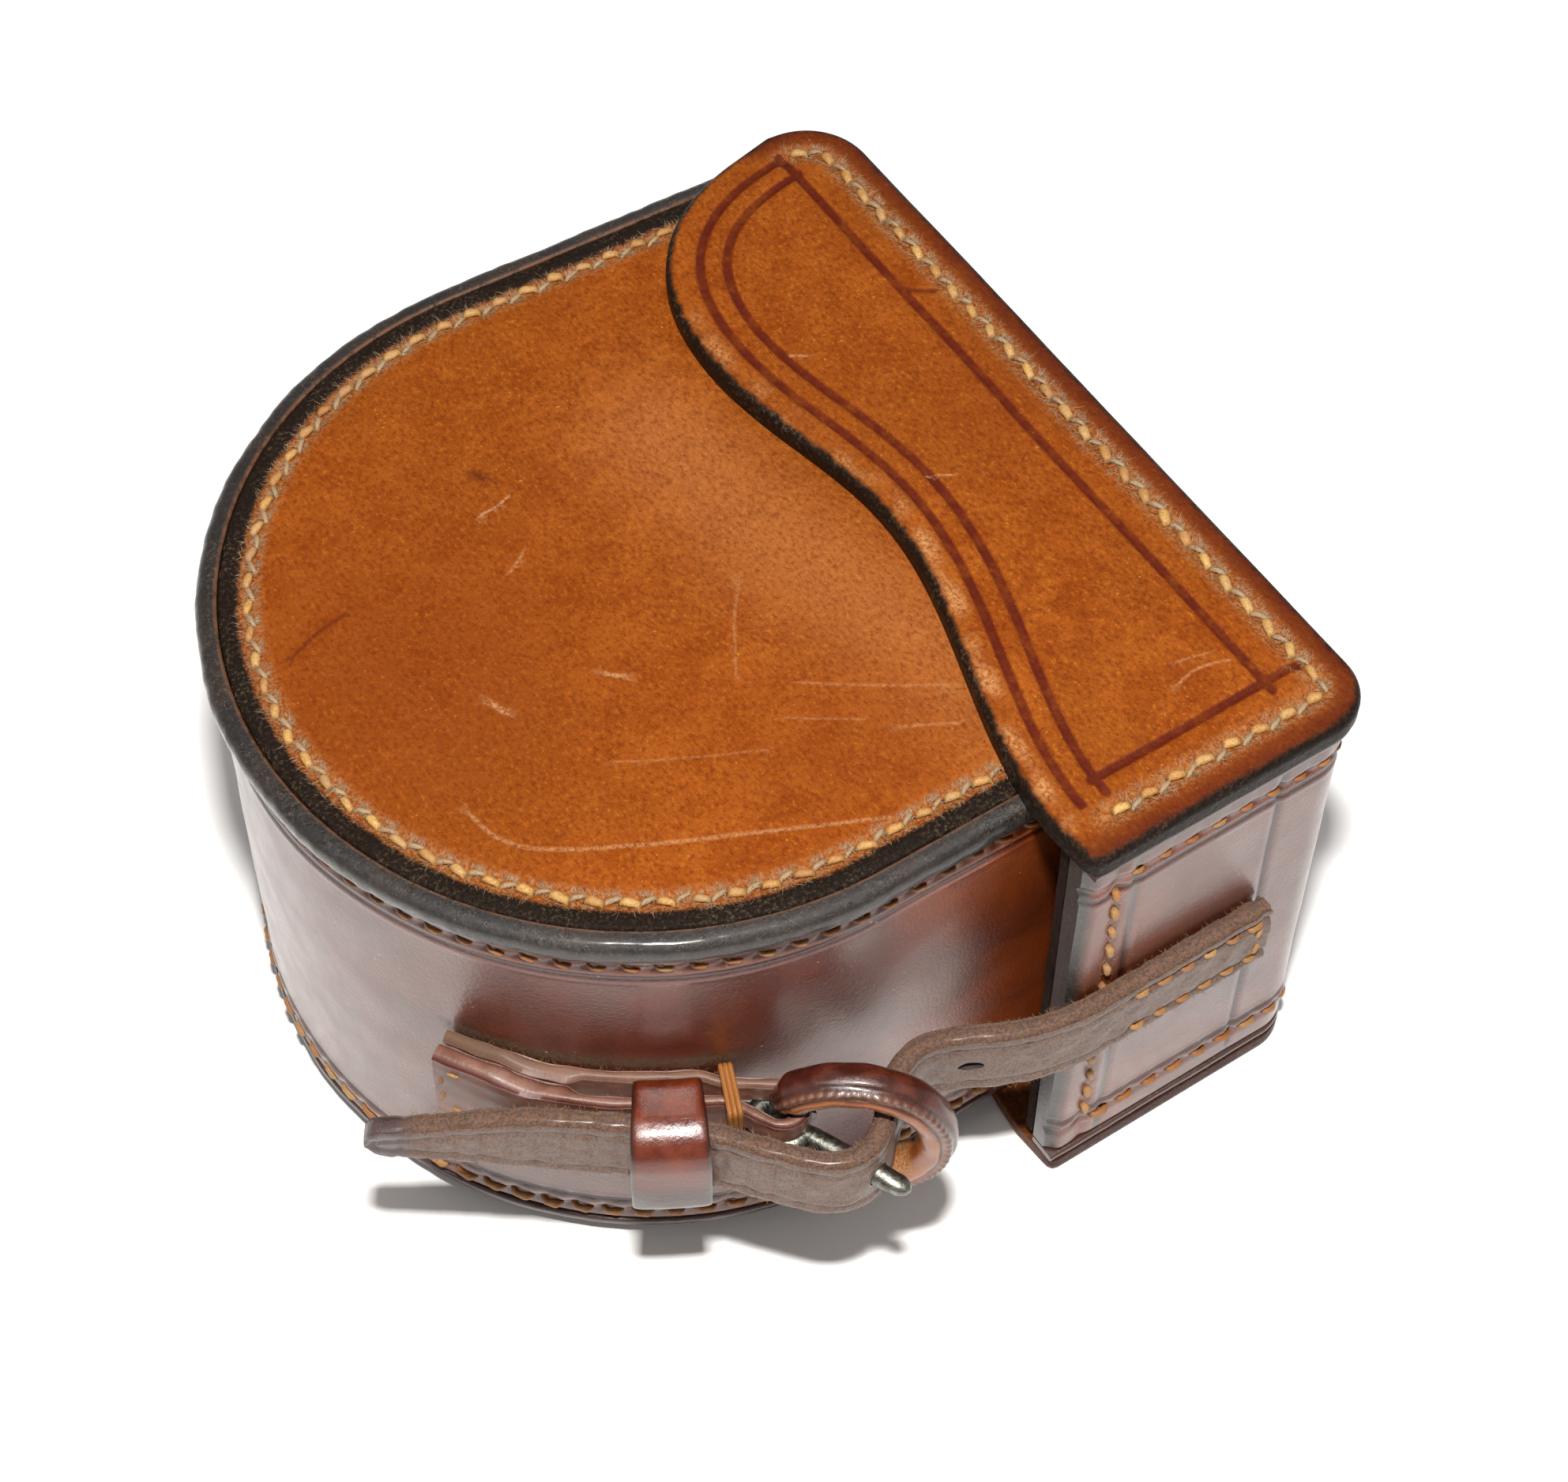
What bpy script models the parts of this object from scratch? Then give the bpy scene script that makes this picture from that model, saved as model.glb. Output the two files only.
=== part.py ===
"""D-shaped block-leather case with a hinged end cap, a strap and a covered ring buckle.

Frame, in metres: +X runs towards the flat end that opens, -Y is the strap side,
+Y the hinge side, +Z up. The origin is on the underside of the case, at the
centre of the round end.
"""
import math

import bmesh
import bpy
from mathutils import Vector

MM = 0.001

# Fit between neighbouring pieces
GAP = 0.3

# Case body
BODY_RADIUS = 50.0
BODY_HEIGHT = 63.0
BODY_MOUTH_X = 44.3
FAR_SIDE_TOE_IN = math.radians(3.2)
ARC_STEPS = 32
PANEL_THICKNESS = 3.4
WELT_WIDTH = 2.5
WELT_HEIGHT = 3.7
BOTTOM_WELT_INSET = 1.1
BOTTOM_WELT_HEIGHT = 1.2
WALL_INSET = 1.3
WALL_THICKNESS = 3.0
LINING_THICKNESS = 1.2
PANEL_LINING_THICKNESS = 1.0

# End cap that forms the lid
LID_NEAR_Y = 61.2
LID_END_X = 56.4
LID_MOUTH_X = 17.2
LID_WALL_MOUTH_X = 17.8
LID_FAR_MOUTH_X = 45.3
LID_FAR_MOUTH_Y = 47.4
LID_FAR_CORNER_Y = 46.0
LID_NEAR_CORNER = 6.5
LID_FAR_CORNER = 8.5
LID_PANEL_THICKNESS = 2.7
LID_WELT_THICKNESS = 1.0
LID_WELT_START_X = 46.8
LID_BOTTOM_INSET = 1.0
LID_WALL_INSET = 1.2
LID_WALL_THICKNESS = 3.5

# S-shaped front edge of the two flaps
FLAP_NEAR_X = 16.6
FLAP_NEAR_Y = -54.0
FLAP_CREST = (26.0, -9.5)
FLAP_WAIST = (21.8, 20.0)
FLAP_SHOULDER_REACH = 16.0
FLAP_END = (46.6, 46.6)

# Seams
THREAD_RADIUS = 0.4
THREAD_DEPTH = 0.45
GROOVE_RADIUS = 0.76
BODY_SEAM_INSET = 5.9
BODY_SEAM_END_X = 40.0
LID_SEAM_INSET = 4.6
WALL_SEAM_DROP = 6.0
WALL_SEAM_RISE = 3.3
LID_WALL_SEAM_DROP = 5.6
LID_MOUTH_SEAM_X = 22.2

# Hinge leather on the far side
HINGE_AXIS = (45.0, 47.2)
HINGE_THICKNESS = 1.2
HINGE_BODY_LENGTH = 12.0
HINGE_LID_LENGTH = 12.0
HINGE_MARGIN = 7.5

# Strap and its furniture
STRAP_Z = 32.0
STRAP_THICKNESS = 2.6
STRAP_HALF_WIDTH = 5.25
STRAP_TIP_HALF_WIDTH = 2.6
STRAP_SEWN_X = (44.0, 24.0)
STRAP_HOLE_X = 5.2
STRAP_HOLE_RADIUS = 1.0

# Covered ring: a round ring whose hinge side is a straight bar
RING_CENTRE = (-9.9, -57.6)
RING_ANGLE = math.radians(-38.5)
RING_RADIUS = 9.3
RING_BAR_HALF = 4.8
RING_CORE_RADIUS = 1.5
RING_COVER_RADIUS = 2.5
RING_COVER_BORE = 1.8
RING_COVER_START = math.radians(46.0)

# Prong
PRONG_RADIUS = 1.2
PRONG_LENGTH = 16.4
PRONG_LIFT = math.radians(-26.5)

# Folded chape that carries the ring
CHAPE_THICKNESS = 1.5
CHAPE_BASE_R = 49.75
CHAPE_UPPER_R = 53.05
CHAPE_END_R = 51.55
CHAPE_END_ANGLE = 211.0
CHAPE_END_HALF = 6.0
CHAPE_MID_HALF = 5.0
CHAPE_FOLD_HALF = 4.4

# Keeper loop, centred on the round end so that it slides along the chape
KEEPER_ANGLES = (235.7, 244.1)
KEEPER_BACK_R = 50.8
KEEPER_FRONT_R = 60.6
KEEPER_THICKNESS = 1.2
KEEPER_HALF_HEIGHT = 7.0

BINDING_ANGLES = (246.6, 248.1)
BINDING_THICKNESS = 0.5


# Plan curves, as lists of (x, y) in millimetres

def polar(angle_degrees, radius):
    angle = math.radians(angle_degrees)
    return (radius * math.cos(angle), radius * math.sin(angle))


def body_path(inset, mouth_x=BODY_MOUTH_X):
    """Body outline moved inwards, from the near mouth round the apex to the far mouth."""
    radius = BODY_RADIUS - inset
    points = [(mouth_x, -radius), (mouth_x / 2, -radius)]
    last = 90.0 - math.degrees(FAR_SIDE_TOE_IN)
    for step in range(ARC_STEPS + 1):
        angle = 270.0 + (last - 270.0) * step / ARC_STEPS
        points.append(polar(angle, radius))
    tangent_x, tangent_y = points[-1]
    slope = -math.tan(FAR_SIDE_TOE_IN)
    for x in (tangent_x + (mouth_x - tangent_x) / 2, mouth_x):
        points.append((x, tangent_y + (x - tangent_x) * slope))
    return points


def fillet(before, corner, after, radius, steps=7):
    """Arc that rounds one corner of a polyline."""
    to_before = (Vector(before) - Vector(corner)).normalized()
    to_after = (Vector(after) - Vector(corner)).normalized()
    half = to_before.angle(to_after) / 2
    along = radius / math.tan(half)
    centre = Vector(corner) + (to_before + to_after).normalized() * (radius / math.sin(half))
    start = Vector(corner) + to_before * along - centre
    end = Vector(corner) + to_after * along - centre
    turn = start.angle_signed(end)
    arc = []
    for step in range(steps + 1):
        angle = math.atan2(start.y, start.x) - turn * step / steps
        arc.append((centre.x + radius * math.cos(angle), centre.y + radius * math.sin(angle)))
    return arc


def lid_path(inset, near_x=LID_WALL_MOUTH_X, far_x=LID_FAR_MOUTH_X):
    """Lid outline moved inwards, from its near mouth round the flat end to its far mouth."""
    near_y = -(LID_NEAR_Y - inset)
    end_x = LID_END_X - inset
    rise = (LID_FAR_MOUTH_Y - LID_FAR_CORNER_Y) / (LID_END_X - LID_FAR_MOUTH_X)
    shift = inset * math.sqrt(1 + rise * rise)
    far_corner_y = LID_FAR_CORNER_Y + rise * inset - shift
    far_y = far_corner_y + rise * (end_x - far_x)
    near = (near_x, near_y)
    near_corner = (end_x, near_y)
    far_corner = (end_x, far_corner_y)
    far = (far_x, far_y)
    points = [near, ((near_x + end_x) / 2, near_y)]
    points += fillet(near, near_corner, far_corner, LID_NEAR_CORNER - inset)
    points.append((end_x, -20.0))
    points.append((end_x, 10.0))
    points += fillet(near_corner, far_corner, far, LID_FAR_CORNER - inset)
    points.append(far)
    return points


def smooth(t):
    return t * t * (3 - 2 * t)


def flap_edge(steps=12):
    """S-shaped flap edge, from the hinge side to the strap side."""
    shoulder = []
    ends = [FLAP_END, (FLAP_END[0] - FLAP_SHOULDER_REACH, FLAP_END[1] - 1.4)]
    waist = [(FLAP_WAIST[0], FLAP_WAIST[1] + FLAP_SHOULDER_REACH), FLAP_WAIST]
    a, b, c, d = [Vector(point) for point in ends + waist]
    for step in range(steps):
        t = step / steps
        u = 1 - t
        point = a * u ** 3 + b * 3 * u * u * t + c * 3 * u * t * t + d * t ** 3
        shoulder.append(tuple(point))
    points = shoulder
    marks = [FLAP_WAIST, FLAP_CREST, (FLAP_NEAR_X, FLAP_NEAR_Y)]
    for (x0, y0), (x1, y1) in zip(marks, marks[1:]):
        for step in range(steps):
            t = step / steps
            points.append((x0 + (x1 - x0) * smooth(t), y0 + (y1 - y0) * t))
    points.append((FLAP_NEAR_X, FLAP_NEAR_Y))
    points.append((LID_MOUTH_X - 0.2, -LID_NEAR_Y + 1.6))
    points.append((LID_MOUTH_X + 0.4, -LID_NEAR_Y + 0.4))
    points.append((LID_MOUTH_X + 1.6, -LID_NEAR_Y))
    return points


def spline(points, steps=6):
    """Catmull-Rom curve through plan points."""
    padded = [points[0]] + list(points) + [points[-1]]
    curve = []
    for index in range(len(points) - 1):
        a, b, c, d = [Vector(p) for p in padded[index:index + 4]]
        for step in range(steps):
            t = step / steps
            curve.append(tuple(
                0.5 * (2 * b + (c - a) * t + (2 * a - 5 * b + 4 * c - d) * t * t
                       + (3 * b - a - 3 * c + d) * t ** 3)))
    curve.append(tuple(points[-1]))
    return curve


def cut_corners(points, distance):
    """3-D polyline whose inner corners are replaced by short chamfers."""
    eased = [points[0]]
    for before, corner, after in zip(points, points[1:], points[2:]):
        for end in (before, after):
            step = (Vector(end) - Vector(corner)).normalized() * distance
            eased.append(tuple(Vector(corner) + step))
    return eased + [points[-1]]


def path_normals(points):
    """Unit normals to the right of the direction of travel."""
    normals = []
    count = len(points)
    for index in range(count):
        before, after = points[max(index - 1, 0)], points[min(index + 1, count - 1)]
        along = Vector((after[0] - before[0], after[1] - before[1])).normalized()
        normals.append(Vector((along.y, -along.x)))
    return normals


def inset_loop(points, distance):
    """Closed counter-clockwise loop moved inwards, with mitred corners."""
    moved = []
    count = len(points)
    for index in range(count):
        here = Vector(points[index])
        into = (here - Vector(points[index - 1])).normalized()
        out = (Vector(points[(index + 1) % count]) - here).normalized()
        normal_in = Vector((-into.y, into.x))
        normal_out = Vector((-out.y, out.x))
        mitre = (normal_in + normal_out).normalized()
        reach = distance / max(mitre.dot(normal_in), 0.4)
        moved.append(tuple(here + mitre * reach))
    return moved


# Scene helpers

def clear_scene():
    for item in list(bpy.data.objects):
        bpy.data.objects.remove(item)


def make_collection(name, helper=False):
    collection = bpy.data.collections.new(name)
    bpy.context.scene.collection.children.link(collection)
    collection.hide_render = helper
    return collection


def leather(name, colour, roughness):
    material = bpy.data.materials.new(name)
    material.use_nodes = True
    shader = material.node_tree.nodes["Principled BSDF"]
    shader.inputs["Base Color"].default_value = (*colour, 1.0)
    shader.inputs["Roughness"].default_value = roughness
    material.diffuse_color = (*colour, 1.0)
    return material


def metal(name, colour, roughness):
    material = leather(name, colour, roughness)
    material.node_tree.nodes["Principled BSDF"].inputs["Metallic"].default_value = 1.0
    return material


class Shop:
    """Holds the collections and builds named pieces into them."""

    def __init__(self):
        self.parts = make_collection("leather_reel_case")
        self.helpers = make_collection("helpers", helper=True)
        self.parents = {}

    def empty(self, name, x, y, z):
        frame = bpy.data.objects.new(name, None)
        frame.location = (x * MM, y * MM, z * MM)
        frame.empty_display_size = 0.01
        self.parts.objects.link(frame)
        self.parents[name] = frame
        return frame

    def mesh_object(self, name, points, faces, material=None, parent=None):
        mesh = bpy.data.meshes.new(name)
        origin = Vector((0, 0, 0))
        if parent:
            origin = self.parents[parent].location.copy()
        corners = [Vector(point) * MM - origin for point in points]
        mesh.from_pydata(corners, [], faces)
        sheet = bmesh.new()
        sheet.from_mesh(mesh)
        bmesh.ops.recalc_face_normals(sheet, faces=sheet.faces)
        sheet.to_mesh(mesh)
        sheet.free()
        piece = bpy.data.objects.new(name, mesh)
        if material:
            mesh.materials.append(material)
            self.parts.objects.link(piece)
        else:
            piece.hide_render = True
            piece.display_type = "WIRE"
            self.helpers.objects.link(piece)
        if parent:
            piece.parent = self.parents[parent]
        return piece

    def loft(self, name, rings, material=None, parent=None, closed=False):
        """Skin over equal rings of 3-D points, capped at both ends unless closed."""
        size = len(rings[0])
        points = [point for ring in rings for point in ring]
        faces = []
        spans = len(rings) if closed else len(rings) - 1
        for span in range(spans):
            low = span * size
            high = (span + 1) % len(rings) * size
            for side in range(size):
                other = (side + 1) % size
                faces.append((low + side, low + other, high + other, high + side))
        if not closed:
            faces.append(tuple(range(size)))
            faces.append(tuple(range(len(points) - size, len(points))))
        return self.mesh_object(name, points, faces, material, parent)

    def slab(self, name, loop, z_low, z_high, low_round, high_round, material, parent=None):
        """Flat plate with a counter-clockwise outline and rounded rims."""
        rings = []
        for inset, z in rim_profile(z_low, z_high, low_round, high_round):
            rings.append([(x, y, z) for x, y in inset_loop(loop, inset)])
        return self.loft(name, rings, material, parent)

    def sweep(self, name, path, section, side, material=None, parent=None):
        """Section of (offset, z) points carried along an open plan path."""
        rings = []
        for (x, y), normal in zip(path, path_normals(path)):
            ring = []
            for offset, z in section:
                ring.append((x + side * offset * normal.x, y + side * offset * normal.y, z))
            rings.append(ring)
        return self.loft(name, rings, material, parent)

    def ribbon(self, name, path, thickness, half_widths, material, parent=None):
        """Flat strip on edge: thickness across the path, width along Z."""
        rings = []
        half = thickness / 2
        ease = thickness * 0.22
        for (x, y), normal, width in zip(path, path_normals(path), half_widths):
            ring = []
            for offset, z in rounded_box(-half, half, -width, width, ease, 1):
                ring.append((x + offset * normal.x, y + offset * normal.y, STRAP_Z + z))
            rings.append(ring)
        return self.loft(name, rings, material, parent)

    def tube(self, name, points, radius, material=None, parent=None, closed=False, sides=6):
        """Round cord along a 3-D path; the radius may be a number or one per point."""
        radii = radius if isinstance(radius, list) else [radius] * len(points)
        count = len(points)
        rings = []
        across = None
        for index, point in enumerate(points):
            if closed:
                before, after = points[index - 1], points[(index + 1) % count]
            else:
                before, after = points[max(index - 1, 0)], points[min(index + 1, count - 1)]
            along = (Vector(after) - Vector(before)).normalized()
            if across is None:
                across = along.orthogonal().normalized()
            across = (across - along * across.dot(along)).normalized()
            other = along.cross(across)
            ring = []
            for side in range(sides):
                angle = 2 * math.pi * side / sides
                offset = across * math.cos(angle) + other * math.sin(angle)
                ring.append(tuple(Vector(point) + offset * radii[index]))
            rings.append(ring)
        return self.loft(name, rings, material, parent, closed)

    def hollow(self, name, path, outer, inner, material, parent=None):
        """Loop-shaped band: a section with a hole carried along an open plan path."""
        size = len(outer)
        points = []
        for (x, y), normal in zip(path, path_normals(path)):
            for section in (outer, inner):
                for offset, z in section:
                    points.append((x + offset * normal.x, y + offset * normal.y, z))
        faces = []
        stride = 2 * size
        for span in range(len(path) - 1):
            low = span * stride
            high = low + stride
            for start in (0, size):
                for side in range(size):
                    a = start + side
                    b = start + (side + 1) % size
                    faces.append((low + a, low + b, high + b, high + a))
        for end in (0, (len(path) - 1) * stride):
            for side in range(size):
                other = (side + 1) % size
                faces.append((end + side, end + other, end + size + other, end + size + side))
        return self.mesh_object(name, points, faces, material, parent)

    def cylinder(self, name, start, end, radius, sides=16):
        return self.tube(name, [start, end], radius, sides=sides)

    def combine(self, piece, tool, operation):
        modifier = piece.modifiers.new(operation.lower() + "_" + tool.name, "BOOLEAN")
        modifier.operation = operation
        modifier.solver = "EXACT"
        modifier.object = tool

    def cut(self, piece, tool):
        self.combine(piece, tool, "DIFFERENCE")

    def seam(self, thread_name, piece, points, material, parent=None):
        """Thread lying in a groove of a piece."""
        self.tube(thread_name, points, THREAD_RADIUS, material, parent)
        start = Vector(points[0]) - (Vector(points[1]) - Vector(points[0])).normalized()
        end = Vector(points[-1]) - (Vector(points[-2]) - Vector(points[-1])).normalized()
        groove = [tuple(start)] + list(points[1:-1]) + [tuple(end)]
        self.cut(piece, self.tube(thread_name + "_groove", groove, GROOVE_RADIUS))


# Sections

def rim_profile(z_low, z_high, low_round, high_round, steps=3):
    """(inset, z) pairs up the rim of a plate, from its low face to its high face."""
    profile = []
    for step in range(steps + 1):
        angle = math.pi / 2 * step / steps
        profile.append((low_round * (1 - math.sin(angle)), z_low + low_round * (1 - math.cos(angle))))
    for step in range(steps + 1):
        angle = math.pi / 2 * step / steps
        profile.append((high_round * (1 - math.cos(angle)), z_high - high_round * (1 - math.sin(angle))))
    return profile


def rounded_box(low_a, high_a, low_b, high_b, radius, steps=2):
    """Rectangle with rounded corners, as a loop of points."""
    loop = []
    corners = [
        (high_a - radius, high_b - radius, 0.0),
        (low_a + radius, high_b - radius, 90.0),
        (low_a + radius, low_b + radius, 180.0),
        (high_a - radius, low_b + radius, 270.0),
    ]
    for centre_a, centre_b, first in corners:
        for step in range(steps + 1):
            angle = math.radians(first + 90.0 * step / steps)
            loop.append((centre_a + radius * math.cos(angle), centre_b + radius * math.sin(angle)))
    return loop


def bead_section(low_a, high_a, low_b, high_b, bulge):
    """Rectangle whose outer side is rounded by the bulge radius."""
    small = 0.25
    loop = [(low_a + small, high_b), (low_a, high_b - small)]
    loop += [(low_a, low_b + small), (low_a + small, low_b)]
    for first, centre_b in ((-90.0, low_b + bulge), (0.0, high_b - bulge)):
        for step in range(5):
            angle = math.radians(first + 90.0 * step / 4)
            point = (high_a - bulge + bulge * math.cos(angle), centre_b + bulge * math.sin(angle))
            if (Vector(point) - Vector(loop[-1])).length > 0.05:
                loop.append(point)
    return loop


# Pieces of the body

def counter_clockwise(loop):
    area = sum(a[0] * b[1] - b[0] * a[1] for a, b in zip(loop, loop[1:] + loop[:1]))
    return loop if area > 0 else loop[::-1]


def build_body_shell(shop, tan, mahogany, black, thread):
    """Wall, two panels and two welts, with the seams that join them."""
    wall_low = BOTTOM_WELT_HEIGHT + GAP
    wall_high = BODY_HEIGHT - WELT_HEIGHT - GAP
    section = rounded_box(-WALL_INSET - WALL_THICKNESS, -WALL_INSET, wall_low, wall_high, 0.3, 1)
    wall = shop.sweep("body_wall", body_path(0), section, -1, mahogany)
    seam_inset = WALL_INSET + THREAD_DEPTH
    for name, z in (
        ("body_wall_top_thread", BODY_HEIGHT - WALL_SEAM_DROP),
        ("body_wall_bottom_thread", WALL_SEAM_RISE),
    ):
        row = [(x, y, z) for x, y in body_path(seam_inset, BODY_SEAM_END_X)]
        shop.seam(name, wall, row, thread)
    seam_path = body_path(BODY_SEAM_INSET, BODY_SEAM_END_X)
    for end, z_low, panel_inset, up in (
        ("top", BODY_HEIGHT - PANEL_THICKNESS, WELT_WIDTH + GAP, True),
        ("bottom", 0.0, WALL_INSET + WALL_THICKNESS + GAP, False),
    ):
        z_high = z_low + PANEL_THICKNESS
        low_round, high_round = (0.2, 0.5) if up else (0.5, 0.2)
        panel_loop = counter_clockwise(body_path(panel_inset))
        panel = shop.slab(
            "body_" + end + "_panel", panel_loop, z_low, z_high, low_round, high_round, tan)
        z = z_high - THREAD_DEPTH if up else z_low + THREAD_DEPTH
        row = [(x, y, z) for x, y in seam_path]
        shop.seam("body_" + end + "_thread", panel, row, thread)
    section = bead_section(-WELT_WIDTH, 0.0, BODY_HEIGHT - WELT_HEIGHT, BODY_HEIGHT, 1.6)
    shop.sweep("body_top_welt", body_path(0), section, -1, black)
    section = bead_section(
        -WALL_INSET - WALL_THICKNESS, -BOTTOM_WELT_INSET, 0.0, BOTTOM_WELT_HEIGHT, 0.5)
    shop.sweep("body_bottom_welt", body_path(0), section, -1, black)


def build_body_lining(shop, cloth):
    """Lining of the wall and of the two panels."""
    wall_inner = WALL_INSET + WALL_THICKNESS + GAP
    panel_inner = PANEL_THICKNESS + GAP
    low = panel_inner + PANEL_LINING_THICKNESS + GAP
    section = rounded_box(
        -wall_inner - LINING_THICKNESS, -wall_inner, low, BODY_HEIGHT - low, 0.2, 1)
    shop.sweep("body_wall_lining", body_path(0), section, -1, cloth)
    loop = counter_clockwise(body_path(wall_inner))
    for end, z in (
        ("top", BODY_HEIGHT - panel_inner - PANEL_LINING_THICKNESS),
        ("bottom", panel_inner),
    ):
        shop.slab(
            "body_" + end + "_lining", loop, z, z + PANEL_LINING_THICKNESS, 0.2, 0.2, cloth)


# Pieces of the lid

def build_lid_shell(shop, tan, mahogany, black, thread):
    """U-shaped wall, two flaps with S-shaped edges and two welts."""
    top = BODY_HEIGHT + GAP
    wall_low = LID_WELT_THICKNESS + GAP
    wall_high = BODY_HEIGHT - LID_WELT_THICKNESS - GAP
    inner = -LID_WALL_INSET - LID_WALL_THICKNESS
    section = rounded_box(inner, -LID_WALL_INSET, wall_low, wall_high, 0.5, 1)
    wall = shop.sweep("lid_wall", lid_path(0), section, 1, mahogany, "lid")
    seam_inset = LID_WALL_INSET + THREAD_DEPTH
    for name, z in (
        ("lid_wall_top_thread", BODY_HEIGHT - LID_WALL_SEAM_DROP),
        ("lid_wall_bottom_thread", LID_WALL_SEAM_DROP),
    ):
        row = [(x, y, z) for x, y in lid_path(seam_inset, LID_MOUTH_SEAM_X + 1.6, 46.5)]
        shop.seam(name, wall, row, thread, "lid")
    mouth_y = -(LID_NEAR_Y - seam_inset)
    margin = LID_WALL_SEAM_DROP
    column = [(LID_MOUTH_SEAM_X, mouth_y, z) for z in (margin, 31.5, BODY_HEIGHT - margin)]
    shop.seam("lid_mouth_thread", wall, column, thread, "lid")
    loop = counter_clockwise(lid_path(0, LID_MOUTH_X + 4.0, 47.2) + flap_edge())
    seam_path = lid_path(LID_SEAM_INSET, LID_MOUTH_X + 4.5, 47.0)
    for end, z_low, up in (
        ("top", top, True),
        ("bottom", -GAP - LID_PANEL_THICKNESS, False),
    ):
        z_high = z_low + LID_PANEL_THICKNESS
        low_round, high_round = (0.5, 1.0) if up else (1.0, 0.5)
        outline = loop if up else inset_loop(loop, LID_BOTTOM_INSET)
        panel = shop.slab(
            "lid_" + end + "_panel", outline, z_low, z_high, low_round, high_round, tan, "lid")
        z = z_high - THREAD_DEPTH if up else z_low + THREAD_DEPTH
        row = [(x, y, z) for x, y in seam_path]
        shop.seam("lid_" + end + "_thread", panel, row, thread, "lid")
        welt_low = BODY_HEIGHT - LID_WELT_THICKNESS if up else 0.0
        edge = -0.25 if up else -LID_BOTTOM_INSET
        section = bead_section(inner, edge, welt_low, welt_low + LID_WELT_THICKNESS, 0.45)
        path = lid_path(0, LID_WALL_MOUTH_X, LID_WELT_START_X)
        shop.sweep("lid_" + end + "_welt", path, section, 1, black, "lid")


def build_lid_lining(shop, cloth):
    inner = LID_WALL_INSET + LID_WALL_THICKNESS + GAP
    low = LID_WELT_THICKNESS + 2 * GAP
    section = rounded_box(-inner - LINING_THICKNESS, -inner, low, BODY_HEIGHT - low, 0.2, 1)
    path = lid_path(0, LID_WALL_MOUTH_X, LID_FAR_MOUTH_X + 0.6)
    shop.sweep("lid_wall_lining", path, section, 1, cloth, "lid")


def build_hinge_leather(shop, mahogany):
    """Strip sewn over the far wall of the body and of the lid."""
    out = -WALL_INSET + GAP + HINGE_THICKNESS / 2
    body_side = body_path(-out)[-2:]
    start = Vector(body_side[1]) + (
        Vector(body_side[0]) - Vector(body_side[1])).normalized() * HINGE_BODY_LENGTH
    lid_out = -LID_WALL_INSET + GAP + HINGE_THICKNESS / 2
    lid_side = lid_path(-lid_out)[::-1]
    path = [tuple(start), body_side[1]]
    travelled = 0.0
    for before, after in zip(lid_side, lid_side[1:]):
        path.append(before)
        travelled += (Vector(after) - Vector(before)).length
        if travelled > HINGE_LID_LENGTH:
            break
    half = HINGE_THICKNESS / 2
    section = rounded_box(-half, half, HINGE_MARGIN, BODY_HEIGHT - HINGE_MARGIN, 0.25, 1)
    shop.sweep("hinge_leather", path, section, -1, mahogany)


# Ring buckle and strap

def ring_direction():
    return Vector((math.cos(RING_ANGLE), math.sin(RING_ANGLE)))


def ring_axis():
    """Plan position of the ring's straight bar, on which it and the prong turn."""
    chord = math.sqrt(RING_RADIUS ** 2 - RING_BAR_HALF ** 2)
    return Vector(RING_CENTRE) - ring_direction() * chord


def ring_point(angle, radius=RING_RADIUS):
    """Point of the ring's circle; zero is the side away from the bar."""
    along = ring_direction() * (radius * math.cos(angle))
    return (
        RING_CENTRE[0] + along.x, RING_CENTRE[1] + along.y,
        STRAP_Z + radius * math.sin(angle))


def build_ring(shop, steel, mahogany):
    bar_angle = math.pi - math.asin(RING_BAR_HALF / RING_RADIUS)
    steps = 36
    circle = []
    for step in range(steps + 1):
        circle.append(ring_point(-bar_angle + 2 * bar_angle * step / steps))
    axis = ring_axis()
    circle.append((axis.x, axis.y, STRAP_Z))
    shop.tube("ring_core", circle, RING_CORE_RADIUS, steel, "ring", closed=True, sides=10)
    limit = math.pi - RING_COVER_START
    outward = Vector((ring_direction().y, -ring_direction().x, 0))
    slit = 9.0
    section = []
    sides = 11
    for radius, first, last in (
        (RING_COVER_RADIUS, slit, 360.0 - slit),
        (RING_COVER_BORE, 360.0 - 1.4 * slit, 1.4 * slit),
    ):
        for step in range(sides + 1):
            angle = math.radians(first + (last - first) * step / sides)
            section.append((radius * math.cos(angle), radius * math.sin(angle)))
    rings = []
    for step in range(steps + 1):
        angle = -limit + 2 * limit * step / steps
        centre = Vector(ring_point(angle, RING_RADIUS))
        away = (Vector(ring_point(angle, RING_RADIUS + 1)) - centre).normalized()
        ring = [tuple(centre + away * a + outward * b) for a, b in section]
        rings.append(ring)
    shop.loft("ring_cover", rings, mahogany, "ring")


def prong_direction():
    angle = RING_ANGLE + PRONG_LIFT
    return Vector((math.cos(angle), math.sin(angle)))


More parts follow.
